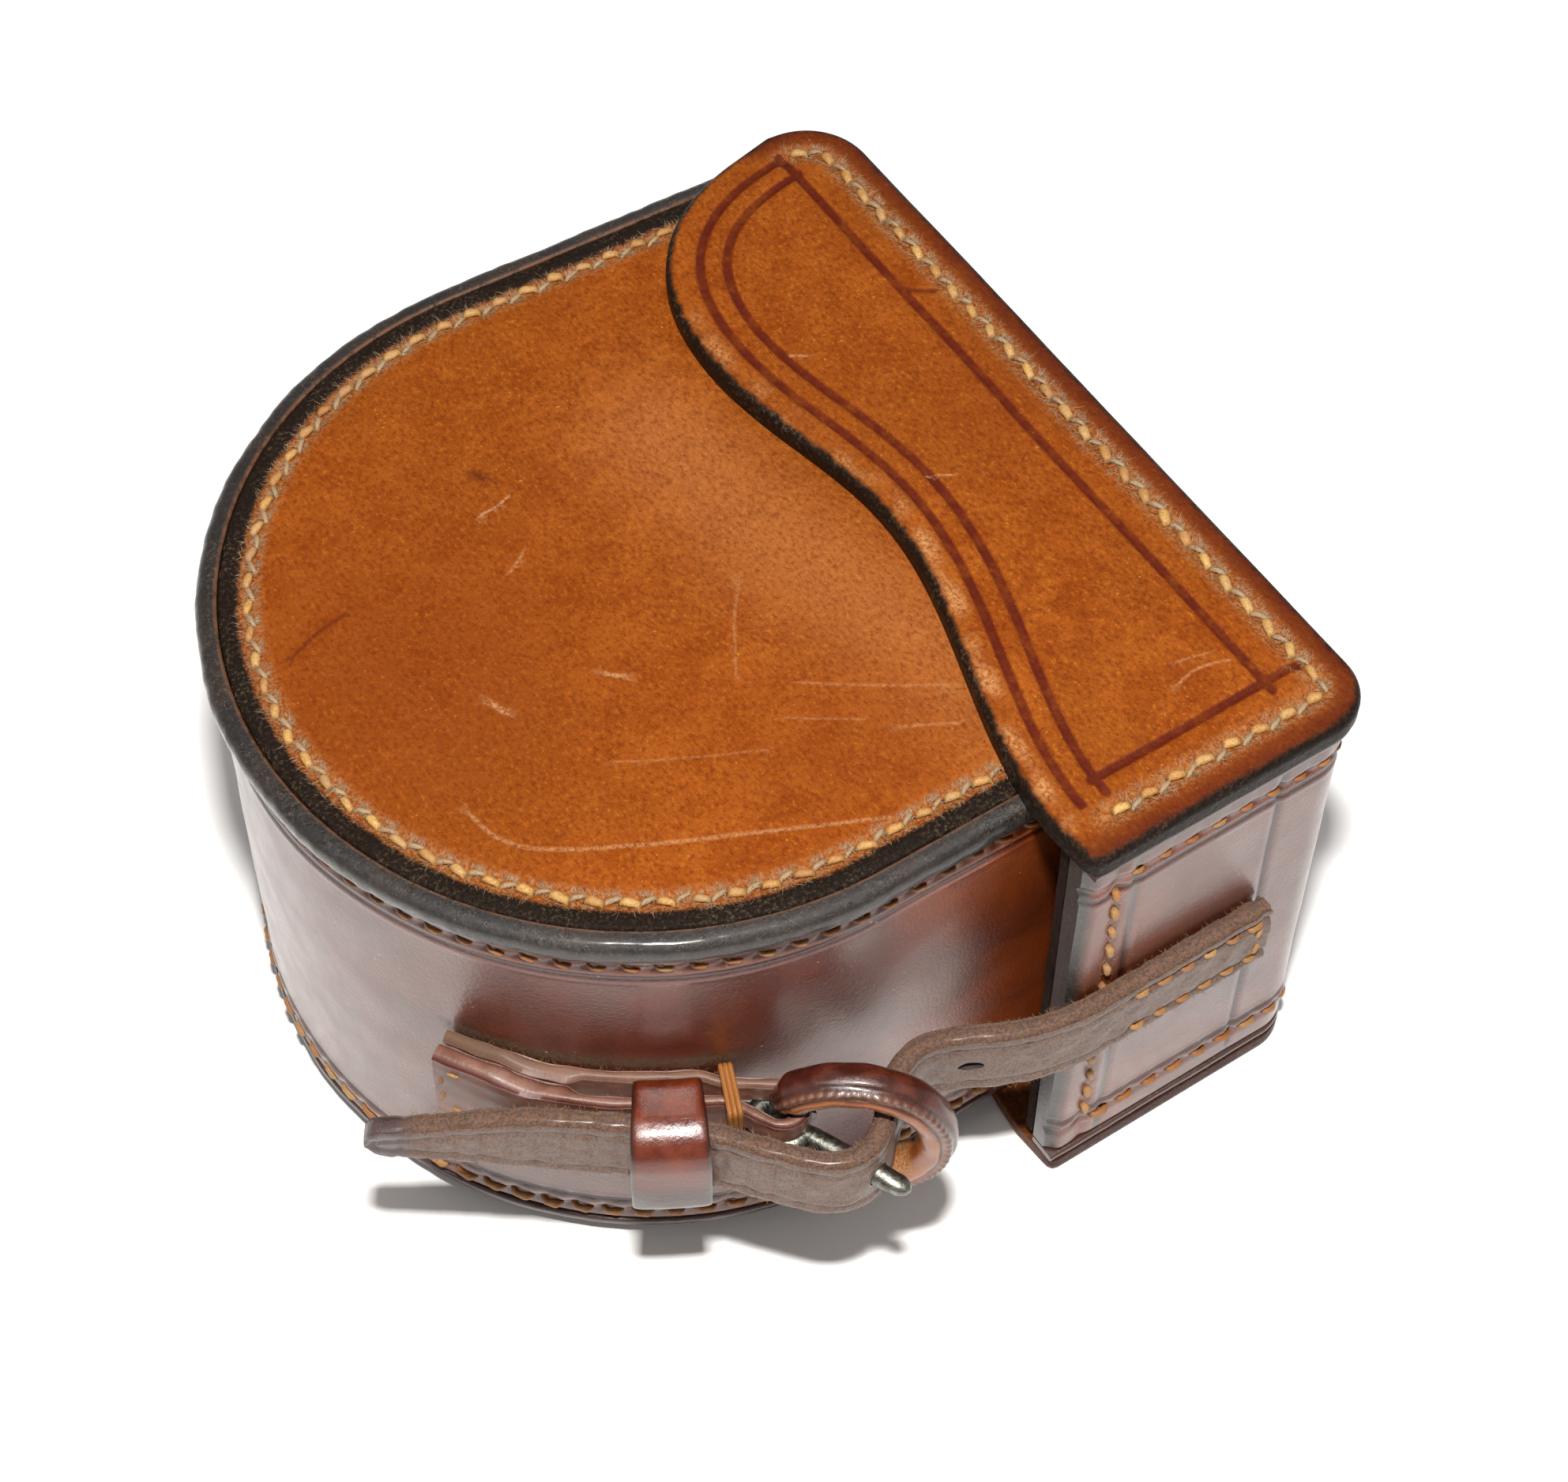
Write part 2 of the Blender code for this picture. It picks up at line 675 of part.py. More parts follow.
def build_prong(shop, steel):
    """Eye round the bar, and a shank that ends in a blunt tip."""
    axis = ring_axis()
    eye_radius = RING_CORE_RADIUS + GAP + PRONG_RADIUS
    eye = []
    for step in range(24):
        angle = 2 * math.pi * step / 24
        eye.append((
            axis.x + eye_radius * math.cos(angle),
            axis.y + eye_radius * math.sin(angle), STRAP_Z))
    prong = shop.tube("prong", eye, PRONG_RADIUS, steel, "prong_axis", closed=True, sides=10)
    along = prong_direction()
    shank = []
    radii = []
    stops = (
        (eye_radius - 0.4, PRONG_RADIUS * 0.85),
        (eye_radius + 2.0, PRONG_RADIUS * 1.05),
        (PRONG_LENGTH - 3.0, PRONG_RADIUS),
        (PRONG_LENGTH - 0.7, PRONG_RADIUS * 0.86),
        (PRONG_LENGTH - 0.15, PRONG_RADIUS * 0.55),
        (PRONG_LENGTH, PRONG_RADIUS * 0.2),
    )
    for distance, radius in stops:
        shank.append((axis.x + along.x * distance, axis.y + along.y * distance, STRAP_Z))
        radii.append(radius)
    shop.combine(prong, shop.tube("prong_shank", shank, radii, sides=10), "UNION")


def chape_path():
    """Folded strip: out along the wall, round the bar and back over itself."""
    axis = ring_axis()
    base = [polar(CHAPE_END_ANGLE + step * 3.0, CHAPE_BASE_R) for step in range(12)]
    base += [polar(246.4, CHAPE_BASE_R + 0.9), polar(249.0, CHAPE_BASE_R + 1.6)]
    fold_radius = RING_CORE_RADIUS + GAP + CHAPE_THICKNESS / 2
    fold = []
    for degrees in range(64, -153, -18):
        angle = math.radians(degrees)
        fold.append((
            axis.x + fold_radius * math.cos(angle), axis.y + fold_radius * math.sin(angle)))
    upper = [polar(247.2, CHAPE_UPPER_R + 0.5)]
    upper += [polar(245.0 - step * 3.0, CHAPE_UPPER_R) for step in range(8)]
    upper += [polar(220.5, CHAPE_UPPER_R - 0.5), polar(216.5, CHAPE_END_R + 0.25)]
    upper += [polar(213.5, CHAPE_END_R), polar(CHAPE_END_ANGLE, CHAPE_END_R)]
    return base + fold + upper


def chape_half_width(point):
    angle = math.degrees(math.atan2(point[1], point[0])) % 360
    if angle < 224:
        t = smooth(min(max((224 - angle) / 6, 0), 1))
        return CHAPE_MID_HALF + (CHAPE_END_HALF - CHAPE_MID_HALF) * t
    t = smooth(min(max((angle - 238) / 10, 0), 1))
    return CHAPE_MID_HALF + (CHAPE_FOLD_HALF - CHAPE_MID_HALF) * t


def build_chape(shop, mahogany, thread):
    path = chape_path()
    widths = [chape_half_width(point) for point in path]
    chape = shop.ribbon("chape", path, CHAPE_THICKNESS, widths, mahogany)
    axis = ring_axis()
    along = ring_direction()
    reach = 4.8
    start = (axis.x - along.x * reach, axis.y - along.y * reach)
    end = (axis.x + along.x * reach, axis.y + along.y * reach)
    half = PRONG_RADIUS + 0.4
    section = [(-4.6, STRAP_Z - half), (4.6, STRAP_Z - half)]
    section += [(4.6, STRAP_Z + half), (-4.6, STRAP_Z + half)]
    shop.cut(chape, shop.sweep("prong_slot", [start, end], section, 1))
    radius = CHAPE_END_R + CHAPE_THICKNESS / 2 - THREAD_DEPTH
    row = CHAPE_END_HALF - 1.5
    far, near = CHAPE_END_ANGLE + 1.9, CHAPE_END_ANGLE + 5.2
    loop = [(near, row), (far, row), (far, -row), (near, -row)]
    points = []
    for angle, height in loop:
        x, y = polar(angle, radius)
        points.append((x, y, STRAP_Z + height))
    shop.seam("chape_thread", chape, cut_corners(points, 0.7), thread)


def arc_path(angles, radius, steps=4):
    first, last = angles
    return [polar(first + (last - first) * step / steps, radius) for step in range(steps + 1)]


def build_loops(shop, mahogany, thread):
    """Sliding keeper, and the thread bound round the neck of the chape."""
    middle = (KEEPER_BACK_R + KEEPER_FRONT_R) / 2
    half = (KEEPER_FRONT_R - KEEPER_BACK_R) / 2
    inner_half = half - KEEPER_THICKNESS
    height = KEEPER_HALF_HEIGHT
    outer = rounded_box(-half, half, STRAP_Z - height, STRAP_Z + height, 1.6, 2)
    height -= KEEPER_THICKNESS
    inner = rounded_box(-inner_half, inner_half, STRAP_Z - height, STRAP_Z + height, 0.5, 2)
    shop.hollow("keeper", arc_path(KEEPER_ANGLES, middle), outer, inner, mahogany, "keeper_axis")
    low, high = 49.55, 55.7
    middle = (low + high) / 2
    half = (high - low) / 2
    height = CHAPE_MID_HALF + 0.25
    inner = rounded_box(-half, half, STRAP_Z - height, STRAP_Z + height, 0.3, 1)
    height += BINDING_THICKNESS
    half += BINDING_THICKNESS
    outer = rounded_box(-half, half, STRAP_Z - height, STRAP_Z + height, 0.7, 1)
    shop.hollow("chape_binding", arc_path(BINDING_ANGLES, middle, 2), outer, inner, thread)


def strap_path():
    """Centreline of the strap from its sewn end to its tip."""
    sewn_y = -(LID_NEAR_Y - LID_WALL_INSET + GAP + STRAP_THICKNESS / 2)
    points = [(STRAP_SEWN_X[0], sewn_y), (34.0, sewn_y), (STRAP_SEWN_X[1], sewn_y)]
    points += [(18.5, sewn_y + 0.1), (13.5, -60.6), (9.0, -58.9), (4.6, -56.6), (0.6, -55.4)]
    points += [(-3.2, -56.4), (-6.4, -58.9), (-9.2, -61.6), (-12.4, -62.9), (-16.2, -61.6)]
    for angle, radius in (
        (250.0, 60.4), (245.5, 57.8), (241.0, 56.5), (236.5, 55.8), (231.0, 55.6),
        (225.0, 56.0), (219.0, 57.3), (213.0, 59.6), (207.5, 62.4),
    ):
        points.append(polar(angle, radius))
    return spline(points, 3)


def build_strap(shop, brown, thread):
    path = strap_path()
    length = 0.0
    lengths = [0.0]
    for before, after in zip(path, path[1:]):
        length += (Vector(after) - Vector(before)).length
        lengths.append(length)
    widths = []
    for reached in lengths:
        left = length - reached
        width = STRAP_TIP_HALF_WIDTH + (
            STRAP_HALF_WIDTH - STRAP_TIP_HALF_WIDTH) * smooth(min(left / 22.0, 1.0))
        widths.append(width)
    strap = shop.ribbon("strap", path, STRAP_THICKNESS, widths, brown, "lid")
    axis = ring_axis()
    along = prong_direction()
    start = (axis.x + along.x * 4.4, axis.y + along.y * 4.4, STRAP_Z)
    end = (axis.x + along.x * 17.0, axis.y + along.y * 17.0, STRAP_Z)
    shop.cut(strap, shop.cylinder("prong_hole", start, end, PRONG_RADIUS + 0.45))
    start = (STRAP_HOLE_X + 2.4, -50.0, STRAP_Z)
    end = (STRAP_HOLE_X - 2.4, -68.0, STRAP_Z)
    shop.cut(strap, shop.cylinder("spare_hole", start, end, STRAP_HOLE_RADIUS, 10))
    face_y = -(LID_NEAR_Y - LID_WALL_INSET + GAP + STRAP_THICKNESS) + THREAD_DEPTH
    row = STRAP_HALF_WIDTH - 1.9
    end_x = STRAP_SEWN_X[0] - 1.7
    loop = [(STRAP_SEWN_X[1], row), (end_x, row), (end_x, -row), (STRAP_SEWN_X[1], -row)]
    points = [(x, face_y, STRAP_Z + height) for x, height in loop]
    shop.seam("strap_thread", strap, cut_corners(points, 0.7), thread, "lid")


def main():
    clear_scene()
    shop = Shop()
    tan = leather("tan_leather", (0.40, 0.14, 0.03), 0.45)
    mahogany = leather("mahogany_leather", (0.12, 0.03, 0.015), 0.35)
    black = leather("burnished_edge", (0.015, 0.01, 0.008), 0.3)
    brown = leather("strap_leather", (0.14, 0.06, 0.03), 0.6)
    thread = leather("linen_thread", (0.5, 0.27, 0.07), 0.8)
    cloth = leather("lining_cloth", (0.16, 0.02, 0.02), 0.9)
    steel = metal("steel", (0.3, 0.3, 0.27), 0.4)
    axis = ring_axis()
    shop.empty("lid", HINGE_AXIS[0], HINGE_AXIS[1], BODY_HEIGHT / 2)
    shop.empty("ring", axis.x, axis.y, STRAP_Z)
    shop.empty("prong_axis", axis.x, axis.y, STRAP_Z)
    shop.empty("keeper_axis", 0.0, 0.0, STRAP_Z)
    build_body_shell(shop, tan, mahogany, black, thread)
    build_body_lining(shop, cloth)
    build_lid_shell(shop, tan, mahogany, black, thread)
    build_lid_lining(shop, cloth)
    build_hinge_leather(shop, mahogany)
    build_ring(shop, steel, mahogany)
    build_prong(shop, steel)
    build_chape(shop, mahogany, thread)
    build_loops(shop, mahogany, thread)
    build_strap(shop, brown, thread)


main()
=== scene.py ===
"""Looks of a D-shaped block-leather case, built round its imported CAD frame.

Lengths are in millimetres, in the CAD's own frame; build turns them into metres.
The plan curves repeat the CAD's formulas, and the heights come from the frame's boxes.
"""
import math

import bmesh
import bpy
import numpy as np
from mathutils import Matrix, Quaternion, Vector
from mathutils.geometry import delaunay_2d_cdt


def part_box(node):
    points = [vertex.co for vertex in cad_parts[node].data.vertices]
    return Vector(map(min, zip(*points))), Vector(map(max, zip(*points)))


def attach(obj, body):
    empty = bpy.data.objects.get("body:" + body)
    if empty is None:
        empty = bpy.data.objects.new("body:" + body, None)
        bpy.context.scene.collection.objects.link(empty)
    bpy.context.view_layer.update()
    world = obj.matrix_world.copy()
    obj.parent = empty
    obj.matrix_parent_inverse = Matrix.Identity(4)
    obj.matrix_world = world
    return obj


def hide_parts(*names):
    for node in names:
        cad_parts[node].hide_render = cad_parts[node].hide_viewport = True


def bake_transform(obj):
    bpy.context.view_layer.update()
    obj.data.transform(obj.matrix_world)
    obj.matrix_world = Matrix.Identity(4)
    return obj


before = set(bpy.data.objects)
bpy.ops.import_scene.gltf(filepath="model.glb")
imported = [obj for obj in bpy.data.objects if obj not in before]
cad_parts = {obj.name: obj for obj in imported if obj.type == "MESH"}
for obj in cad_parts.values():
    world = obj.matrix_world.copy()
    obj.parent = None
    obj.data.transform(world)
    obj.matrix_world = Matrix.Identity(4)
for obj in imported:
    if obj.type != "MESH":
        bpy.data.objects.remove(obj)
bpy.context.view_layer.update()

MM = 0.001


def extent(node, axis):
    """Lowest and highest value of a CAD node along one axis, in millimetres."""
    low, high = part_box(node)
    return low["xyz".index(axis)] / MM, high["xyz".index(axis)] / MM


# Places taken from the frame
BODY_RADIUS = -extent("body_top_welt", "y")[0]
BODY_MOUTH_X = extent("body_wall", "x")[1]
LID_NEAR_Y = -extent("lid_top_panel", "y")[0]
LID_END_X = extent("lid_top_panel", "x")[1]
STRAP_LOW, STRAP_HIGH = extent("strap", "z")
STRAP_Z = (STRAP_LOW + STRAP_HIGH) / 2
STRAP_HALF_WIDTH = (STRAP_HIGH - STRAP_LOW) / 2

# Sizes of the plan curves, as in the CAD
TOE_IN = math.radians(3.2)
WELT_WIDTH = 2.5
WALL_INSET = 1.3
WALL_THICKNESS = 3.0
GAP = 0.3
LID_FAR_MOUTH = (45.3, 47.4)
LID_FAR_CORNER_Y = 46.0
LID_NEAR_CORNER = 6.5
LID_FAR_CORNER = 8.5
LID_WALL_MOUTH_X = 17.8
LID_WALL_INSET = 1.2
LID_WALL_THICKNESS = 3.5
FLAP_NEAR = (16.6, -54.0)
FLAP_CREST = (26.0, -9.5)
FLAP_WAIST = (21.8, 20.0)
FLAP_END = (46.6, 46.6)
FLAP_REACH = 16.0
RING_CENTRE = (-9.9, -57.6)
RING_ANGLE = math.radians(-38.5)
RING_RADIUS = 9.3
RING_BAR_HALF = 4.8
RING_BAR_RADIUS = 1.5
RING_COVER_RADIUS = 2.5
RING_COVER_START = math.radians(46.0)
PRONG_RADIUS = 1.2
PRONG_LENGTH = 16.4
PRONG_LIFT = math.radians(-26.5)
HINGE_REACH = 12.0
HINGE_HALF_THICKNESS = 0.6
STRAP_THICKNESS = 2.6
STRAP_TIP_HALF_WIDTH = 2.6
STRAP_SEWN_X = 44.0
CHAPE_THICKNESS = 1.5
CHAPE_BASE_RADIUS = 49.75
CHAPE_UPPER_RADIUS = 53.05
CHAPE_END_RADIUS = 51.95
CHAPE_FILL_RADIUS = 51.4
CHAPE_END_ANGLE = 211.0
CHAPE_TAPER = 21.0
CHAPE_HALF_WIDTHS = (6.0, 5.0, 4.4)
CHAPE_SLOT_HALF = (4.8, 4.6, PRONG_RADIUS + 0.4)
KEEPER_ANGLES = (235.7, 244.1)
KEEPER_BACK = 50.8
KEEPER_FRONT = 60.6
KEEPER_THICKNESS = 1.2
BINDING_RADII = (49.35, 55.85)
BINDING_TURNS = (246.75, 247.35, 247.95)
THREAD_RADIUS = 0.3

# Seams and creases
BODY_SEAM_INSET = 5.9
BODY_SEAM_END_X = 40.0
LID_SEAM_INSET = 4.6
LID_BOTTOM_INSET = 1.0
STITCH_PITCH = 3.75
TOP_SEAM_Z = 57.0
LOW_SEAM_Z = 3.3
LID_TOP_SEAM_Z = 57.4
LID_LOW_SEAM_Z = 5.6
MOUTH_SEAM_X = 22.2
FLAP_CREASES = (4.1, 7.3)
END_CREASE_X = 46.9
NEAR_CREASE_Y = -52.0
WALL_CREASE_X = (24.6, 44.2)
STRAP_SEAM_ROW = 3.35
RING_SEAM_TURN = math.radians(56)
PLATE_SPACING = 1.7
FAR = 3.0  # a distance at which seams, creases and edges no longer show


# Plan curves

def polar(degrees, radius):
    angle = math.radians(degrees)
    return (radius * math.cos(angle), radius * math.sin(angle))


def smooth(t):
    t = np.clip(t, 0.0, 1.0)
    return t * t * (3 - 2 * t)


def bump(distance, width):
    return np.exp(-(distance / width) ** 2)


def body_path(inset, mouth_x=BODY_MOUTH_X):
    """Body outline moved inwards, from the near mouth round the apex to the far mouth."""
    radius = BODY_RADIUS - inset
    points = [(mouth_x, -radius), (mouth_x / 2, -radius)]
    last = 90.0 - math.degrees(TOE_IN)
    points += [polar(angle, radius) for angle in np.linspace(270.0, last, 121)]
    tangent_x, tangent_y = points[-1]
    for x in (tangent_x + (mouth_x - tangent_x) / 2, mouth_x):
        points.append((x, tangent_y - (x - tangent_x) * math.tan(TOE_IN)))
    return points


def fillet(before, corner, after, radius, steps=18):
    """Arc that rounds one corner of a polyline."""
    to_before = (Vector(before) - Vector(corner)).normalized()
    to_after = (Vector(after) - Vector(corner)).normalized()
    half = to_before.angle(to_after) / 2
    along = radius / math.tan(half)
    centre = Vector(corner) + (to_before + to_after).normalized() * (radius / math.sin(half))
    start = Vector(corner) + to_before * along - centre
    end = Vector(corner) + to_after * along - centre
    turn = start.angle_signed(end)
    first = math.atan2(start.y, start.x)
    return [
        (centre.x + radius * math.cos(first - turn * step / steps),
         centre.y + radius * math.sin(first - turn * step / steps))
        for step in range(steps + 1)]


def lid_path(inset, near_x=LID_WALL_MOUTH_X, far_x=LID_FAR_MOUTH[0]):
    """Lid outline moved inwards, from its near mouth round the flat end to its far mouth."""
    near_y = -(LID_NEAR_Y - inset)
    end_x = LID_END_X - inset
    rise = (LID_FAR_MOUTH[1] - LID_FAR_CORNER_Y) / (LID_END_X - LID_FAR_MOUTH[0])
    shift = inset * math.sqrt(1 + rise * rise)
    far_corner_y = LID_FAR_CORNER_Y + rise * inset - shift
    near, near_corner = (near_x, near_y), (end_x, near_y)
    far_corner = (end_x, far_corner_y)
    far = (far_x, far_corner_y + rise * (end_x - far_x))
    points = [near] + fillet(near, near_corner, far_corner, LID_NEAR_CORNER - inset)
    points += fillet(near_corner, far_corner, far, LID_FAR_CORNER - inset)
    return points + [far]


def flap_edge(steps=24):
    """S-shaped flap edge, from the hinge side to the strap side."""
    a, b = Vector(FLAP_END), Vector((FLAP_END[0] - FLAP_REACH, FLAP_END[1] - 1.4))
    c, d = Vector((FLAP_WAIST[0], FLAP_WAIST[1] + FLAP_REACH)), Vector(FLAP_WAIST)
    points = []
    for t in np.arange(steps) / steps:
        u = 1 - t
        points.append(tuple(a * u ** 3 + b * 3 * u * u * t + c * 3 * u * t * t + d * t ** 3))
    marks = [FLAP_WAIST, FLAP_CREST, FLAP_NEAR]
    for (x0, y0), (x1, y1) in zip(marks, marks[1:]):
        for t in np.arange(steps) / steps:
            points.append((x0 + (x1 - x0) * smooth(t), y0 + (y1 - y0) * t))
    return points + [FLAP_NEAR, (17.0, -59.6), (17.6, -60.8), (18.8, -61.2)]


def ring_direction():
    return np.array([math.cos(RING_ANGLE), math.sin(RING_ANGLE)])


def ring_axis():
    """Plan position of the ring's straight bar, on which it and the prong turn."""
    chord = math.sqrt(RING_RADIUS ** 2 - RING_BAR_HALF ** 2)
    return np.array(RING_CENTRE) - ring_direction() * chord


def prong_direction():
    angle = RING_ANGLE + PRONG_LIFT
    return np.array([math.cos(angle), math.sin(angle)])


def strap_path():
    sewn_y = -(LID_NEAR_Y - LID_WALL_INSET + GAP + STRAP_THICKNESS / 2)
    points = [(STRAP_SEWN_X, sewn_y), (34.0, sewn_y), (24.0, sewn_y)]
    points += [(18.5, sewn_y + 0.1), (13.5, -60.6), (9.0, -58.9), (4.6, -56.6), (0.6, -55.4)]
    points += [(-3.2, -56.4), (-6.4, -58.9), (-9.2, -61.6), (-12.4, -62.9), (-16.2, -61.6)]
    angles = (250.0, 245.5, 241.0, 236.5, 231.0, 225.0, 219.0, 213.0, 207.5)
    radii = (60.4, 57.8, 56.5, 55.8, 55.6, 56.0, 57.3, 59.6, 62.4)
    return points + [polar(*pair) for pair in zip(angles, radii)]


def chape_upper(degrees):
    """Radius of the chape's upper layer, which comes down towards its sewn end."""
    rise = smooth((degrees - CHAPE_END_ANGLE) / CHAPE_TAPER)
    return CHAPE_END_RADIUS + (CHAPE_UPPER_RADIUS - CHAPE_END_RADIUS) * rise


def chape_path():
    """Folded strip: out along the wall, round the bar and back over itself."""
    axis = ring_axis()
    base = [polar(CHAPE_END_ANGLE + step * 3.0, CHAPE_BASE_RADIUS) for step in range(12)]
    base += [polar(246.4, 50.65), polar(249.0, 51.35)]
    fold = []
    for degrees in range(64, -153, -18):
        x, y = polar(degrees, RING_BAR_RADIUS + GAP + CHAPE_THICKNESS / 2)
        fold.append((axis[0] + x, axis[1] + y))
    upper = [polar(247.2, 53.55)]
    upper += [polar(245.0 - step * 3.0, CHAPE_UPPER_RADIUS) for step in range(4)]
    upper += [polar(degrees, chape_upper(degrees)) for degrees in np.arange(232.0, 210.0, -3.0)]
    return base + fold + upper


def catmull(points, steps=8):
    """Smooth curve through plan points."""
    padded = [points[0]] + list(points) + [points[-1]]
    curve = []
    for index in range(len(points) - 1):
        a, b, c, d = [np.array(p, float) for p in padded[index:index + 4]]
        for t in np.arange(steps) / steps:
            curve.append(0.5 * (
                2 * b + (c - a) * t + (2 * a - 5 * b + 4 * c - d) * t * t
                + (3 * b - a - 3 * c + d) * t ** 3))
    return curve + [np.array(points[-1], float)]


class Path:
    """Plan curve in even steps, with distances along it and outward normals."""

    def __init__(self, points, side, step):
        points = np.array(points, float)
        reached = np.concatenate([[0], np.cumsum(np.linalg.norm(np.diff(points, axis=0), axis=1))])
        self.length = reached[-1]
        count = max(int(round(self.length / step)), 2)
        self.along = np.linspace(0, self.length, count + 1)
        self.points = np.stack([np.interp(self.along, reached, points[:, k]) for k in (0, 1)], 1)
        tangent = np.gradient(self.points, axis=0)
        self.tangent = tangent / np.linalg.norm(tangent, axis=1, keepdims=True)
        self.out = side * np.stack([self.tangent[:, 1], -self.tangent[:, 0]], 1)

    def at(self, along):
        """(point, tangent, outward normal) at distances along the path."""
        found = []
        for values in (self.points, self.tangent, self.out):
            found.append(np.stack([np.interp(along, self.along, values[:, k]) for k in (0, 1)], 1))
        return found


def distance_to(points, line):
    """Distance from each plan point to a polyline."""
    points, line = np.asarray(points, float), np.asarray(line, float)
    best = np.full(len(points), 1e9)
    for a, b in zip(line, line[1:]):
        along = b - a
        t = np.clip(((points - a) @ along) / max(along @ along, 1e-9), 0, 1)
        best = np.minimum(best, np.linalg.norm(points - a - t[:, None] * along, axis=1))
    return best


def inside(points, loop):
    """Whether each plan point is inside a closed loop."""
    x, y = np.asarray(points, float).T
    within = np.zeros(len(x), bool)
    for (x0, y0), (x1, y1) in zip(loop, np.roll(loop, -1, axis=0)):
        crosses = (y0 > y) != (y1 > y)
        with np.errstate(divide="ignore", invalid="ignore"):
            within ^= crosses & (x < (x1 - x0) * (y - y0) / (y1 - y0) + x0)
    return within


def counter_clockwise(loop):
    loop = np.array(loop, float)
    x, y = loop.T
    area = np.sum(x * np.roll(y, -1) - np.roll(x, -1) * y)
    return loop if area > 0 else loop[::-1]


def inset_loop(loop, distance):
    """Closed counter-clockwise loop moved inwards, with mitred corners."""
    into = loop - np.roll(loop, 1, axis=0)
    out = np.roll(loop, -1, axis=0) - loop
    into /= np.linalg.norm(into, axis=1, keepdims=True)
    out /= np.linalg.norm(out, axis=1, keepdims=True)
    normal_in = np.stack([-into[:, 1], into[:, 0]], 1)
    normal_out = np.stack([-out[:, 1], out[:, 0]], 1)
    mitre = normal_in + normal_out
    mitre /= np.linalg.norm(mitre, axis=1, keepdims=True)
    reach = distance / np.maximum(np.sum(mitre * normal_in, axis=1), 0.4)
    return loop + mitre * reach[:, None]


def ripple(points, size, seed):
    """Smooth repeatable unevenness of about one unit, with features of one size."""
    points = np.asarray(points, float)
    random = np.random.default_rng(seed)
    total = np.zeros(len(points))
    for _ in range(9):
        direction = random.normal(size=points.shape[1])
        direction *= 2 * math.pi / (size * random.uniform(0.7, 1.7) * np.linalg.norm(direction))
        total += np.sin(points @ direction + random.uniform(0, 2 * math.pi))
    return total / 3.0


# Mesh building

def tube_faces(rows, sides, closed=False):
    """Faces of a tube: its sides, then two end caps or the joint between its ends."""
    faces = []
    for row in range(rows if closed else rows - 1):
        low, high = row * sides, (row + 1) % rows * sides
        for k in range(sides):
            other = (k + 1) % sides
            faces.append([low + k, low + other, high + other, high + k])
    if closed:
        return faces
    last = (rows - 1) * sides
    return faces + [list(range(sides)), list(range(last, last + sides))]


def closed_mesh(name, points, faces):
    """Mesh in metres from points in millimetres, with its normals outwards."""
    data = bpy.data.meshes.new(name)
    data.from_pydata((np.asarray(points, float) * MM).tolist(), [], [list(f) for f in faces])
    sheet = bmesh.new()
    sheet.from_mesh(data)
    bmesh.ops.recalc_face_normals(sheet, faces=sheet.faces)
    sheet.to_mesh(data)
    sheet.free()
    return data


def build(name, points, faces, material, body, slot, replaces=(), sharp=40.0, **fields):
    """One finished piece: smooth shaded, riding on its body, standing for its CAD nodes.

    fields are values for the material to read, one for each point or one for all of them.
    """
    data = closed_mesh(name, points, faces)
    for key, values in fields.items():
        layer = data.attributes.new(key, "FLOAT", "POINT")
        layer.data.foreach_set("value", np.full(len(points), values, np.float32))
    data.polygons.foreach_set("use_smooth", [True] * len(data.polygons))
    data.set_sharp_from_angle(angle=math.radians(sharp))
    data.materials.append(material)
    piece = bpy.data.objects.new(name, data)
    bpy.context.scene.collection.objects.link(piece)
    if body:
        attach(piece, body)
    if replaces:
        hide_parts(*replaces)
    return piece


def cut(piece, tools):
    """Takes closed tool meshes out of a piece for good."""
    for tool in tools:
        modifier = piece.modifiers.new("cut", "BOOLEAN")
        modifier.operation = "DIFFERENCE"
        modifier.solver = "EXACT"
        modifier.object = tool
    graph = bpy.context.evaluated_depsgraph_get()
    result = bpy.data.meshes.new_from_object(
        piece.evaluated_get(graph), preserve_all_data_layers=True, depsgraph=graph)
    piece.modifiers.clear()
    piece.data = result
    for tool in tools:
        bpy.data.objects.remove(tool)


def cutter(ends):
    """Closed prism between two loops of points, used as a cutting tool."""
    data = closed_mesh("cutter", np.concatenate(ends), tube_faces(2, len(ends[0])))
    tool = bpy.data.objects.new("cutter", data)
    bpy.context.scene.collection.objects.link(tool)
    return tool


def drill(start, end, radii, sides=16):
    """Pin with an oval section, at the strap's height, used as a cutting tool."""
    along = (end - start) / np.linalg.norm(end - start)
    side = np.array([along[1], -along[0]])
    angles = (np.arange(sides) * 2 * math.pi / sides)[:, None]
    return cutter([
        np.hstack([centre + side * radii[0] * np.cos(angles), STRAP_Z + radii[1] * np.sin(angles)])
        for centre in (start, end)])


def sweep_mesh(path, section, relief, face):
    """Vertices, faces and the along and z of each vertex, for a section carried on a path.

    relief is a height over (along, z), and face is how much of it each section point takes.
    """
    section = np.array(section, float)
    rows, columns = len(path.points), len(section)
    along = np.repeat(path.along, columns)
    z = np.tile(section[:, 1], rows)
    offset = np.tile(section[:, 0], rows) + relief(along, z) * np.tile(face, rows)
    plan = np.repeat(path.points, columns, axis=0) + offset[:, None] * np.repeat(
        path.out, columns, axis=0)
    points = np.column_stack([plan, z])
    return points, tube_faces(rows, columns), along, z


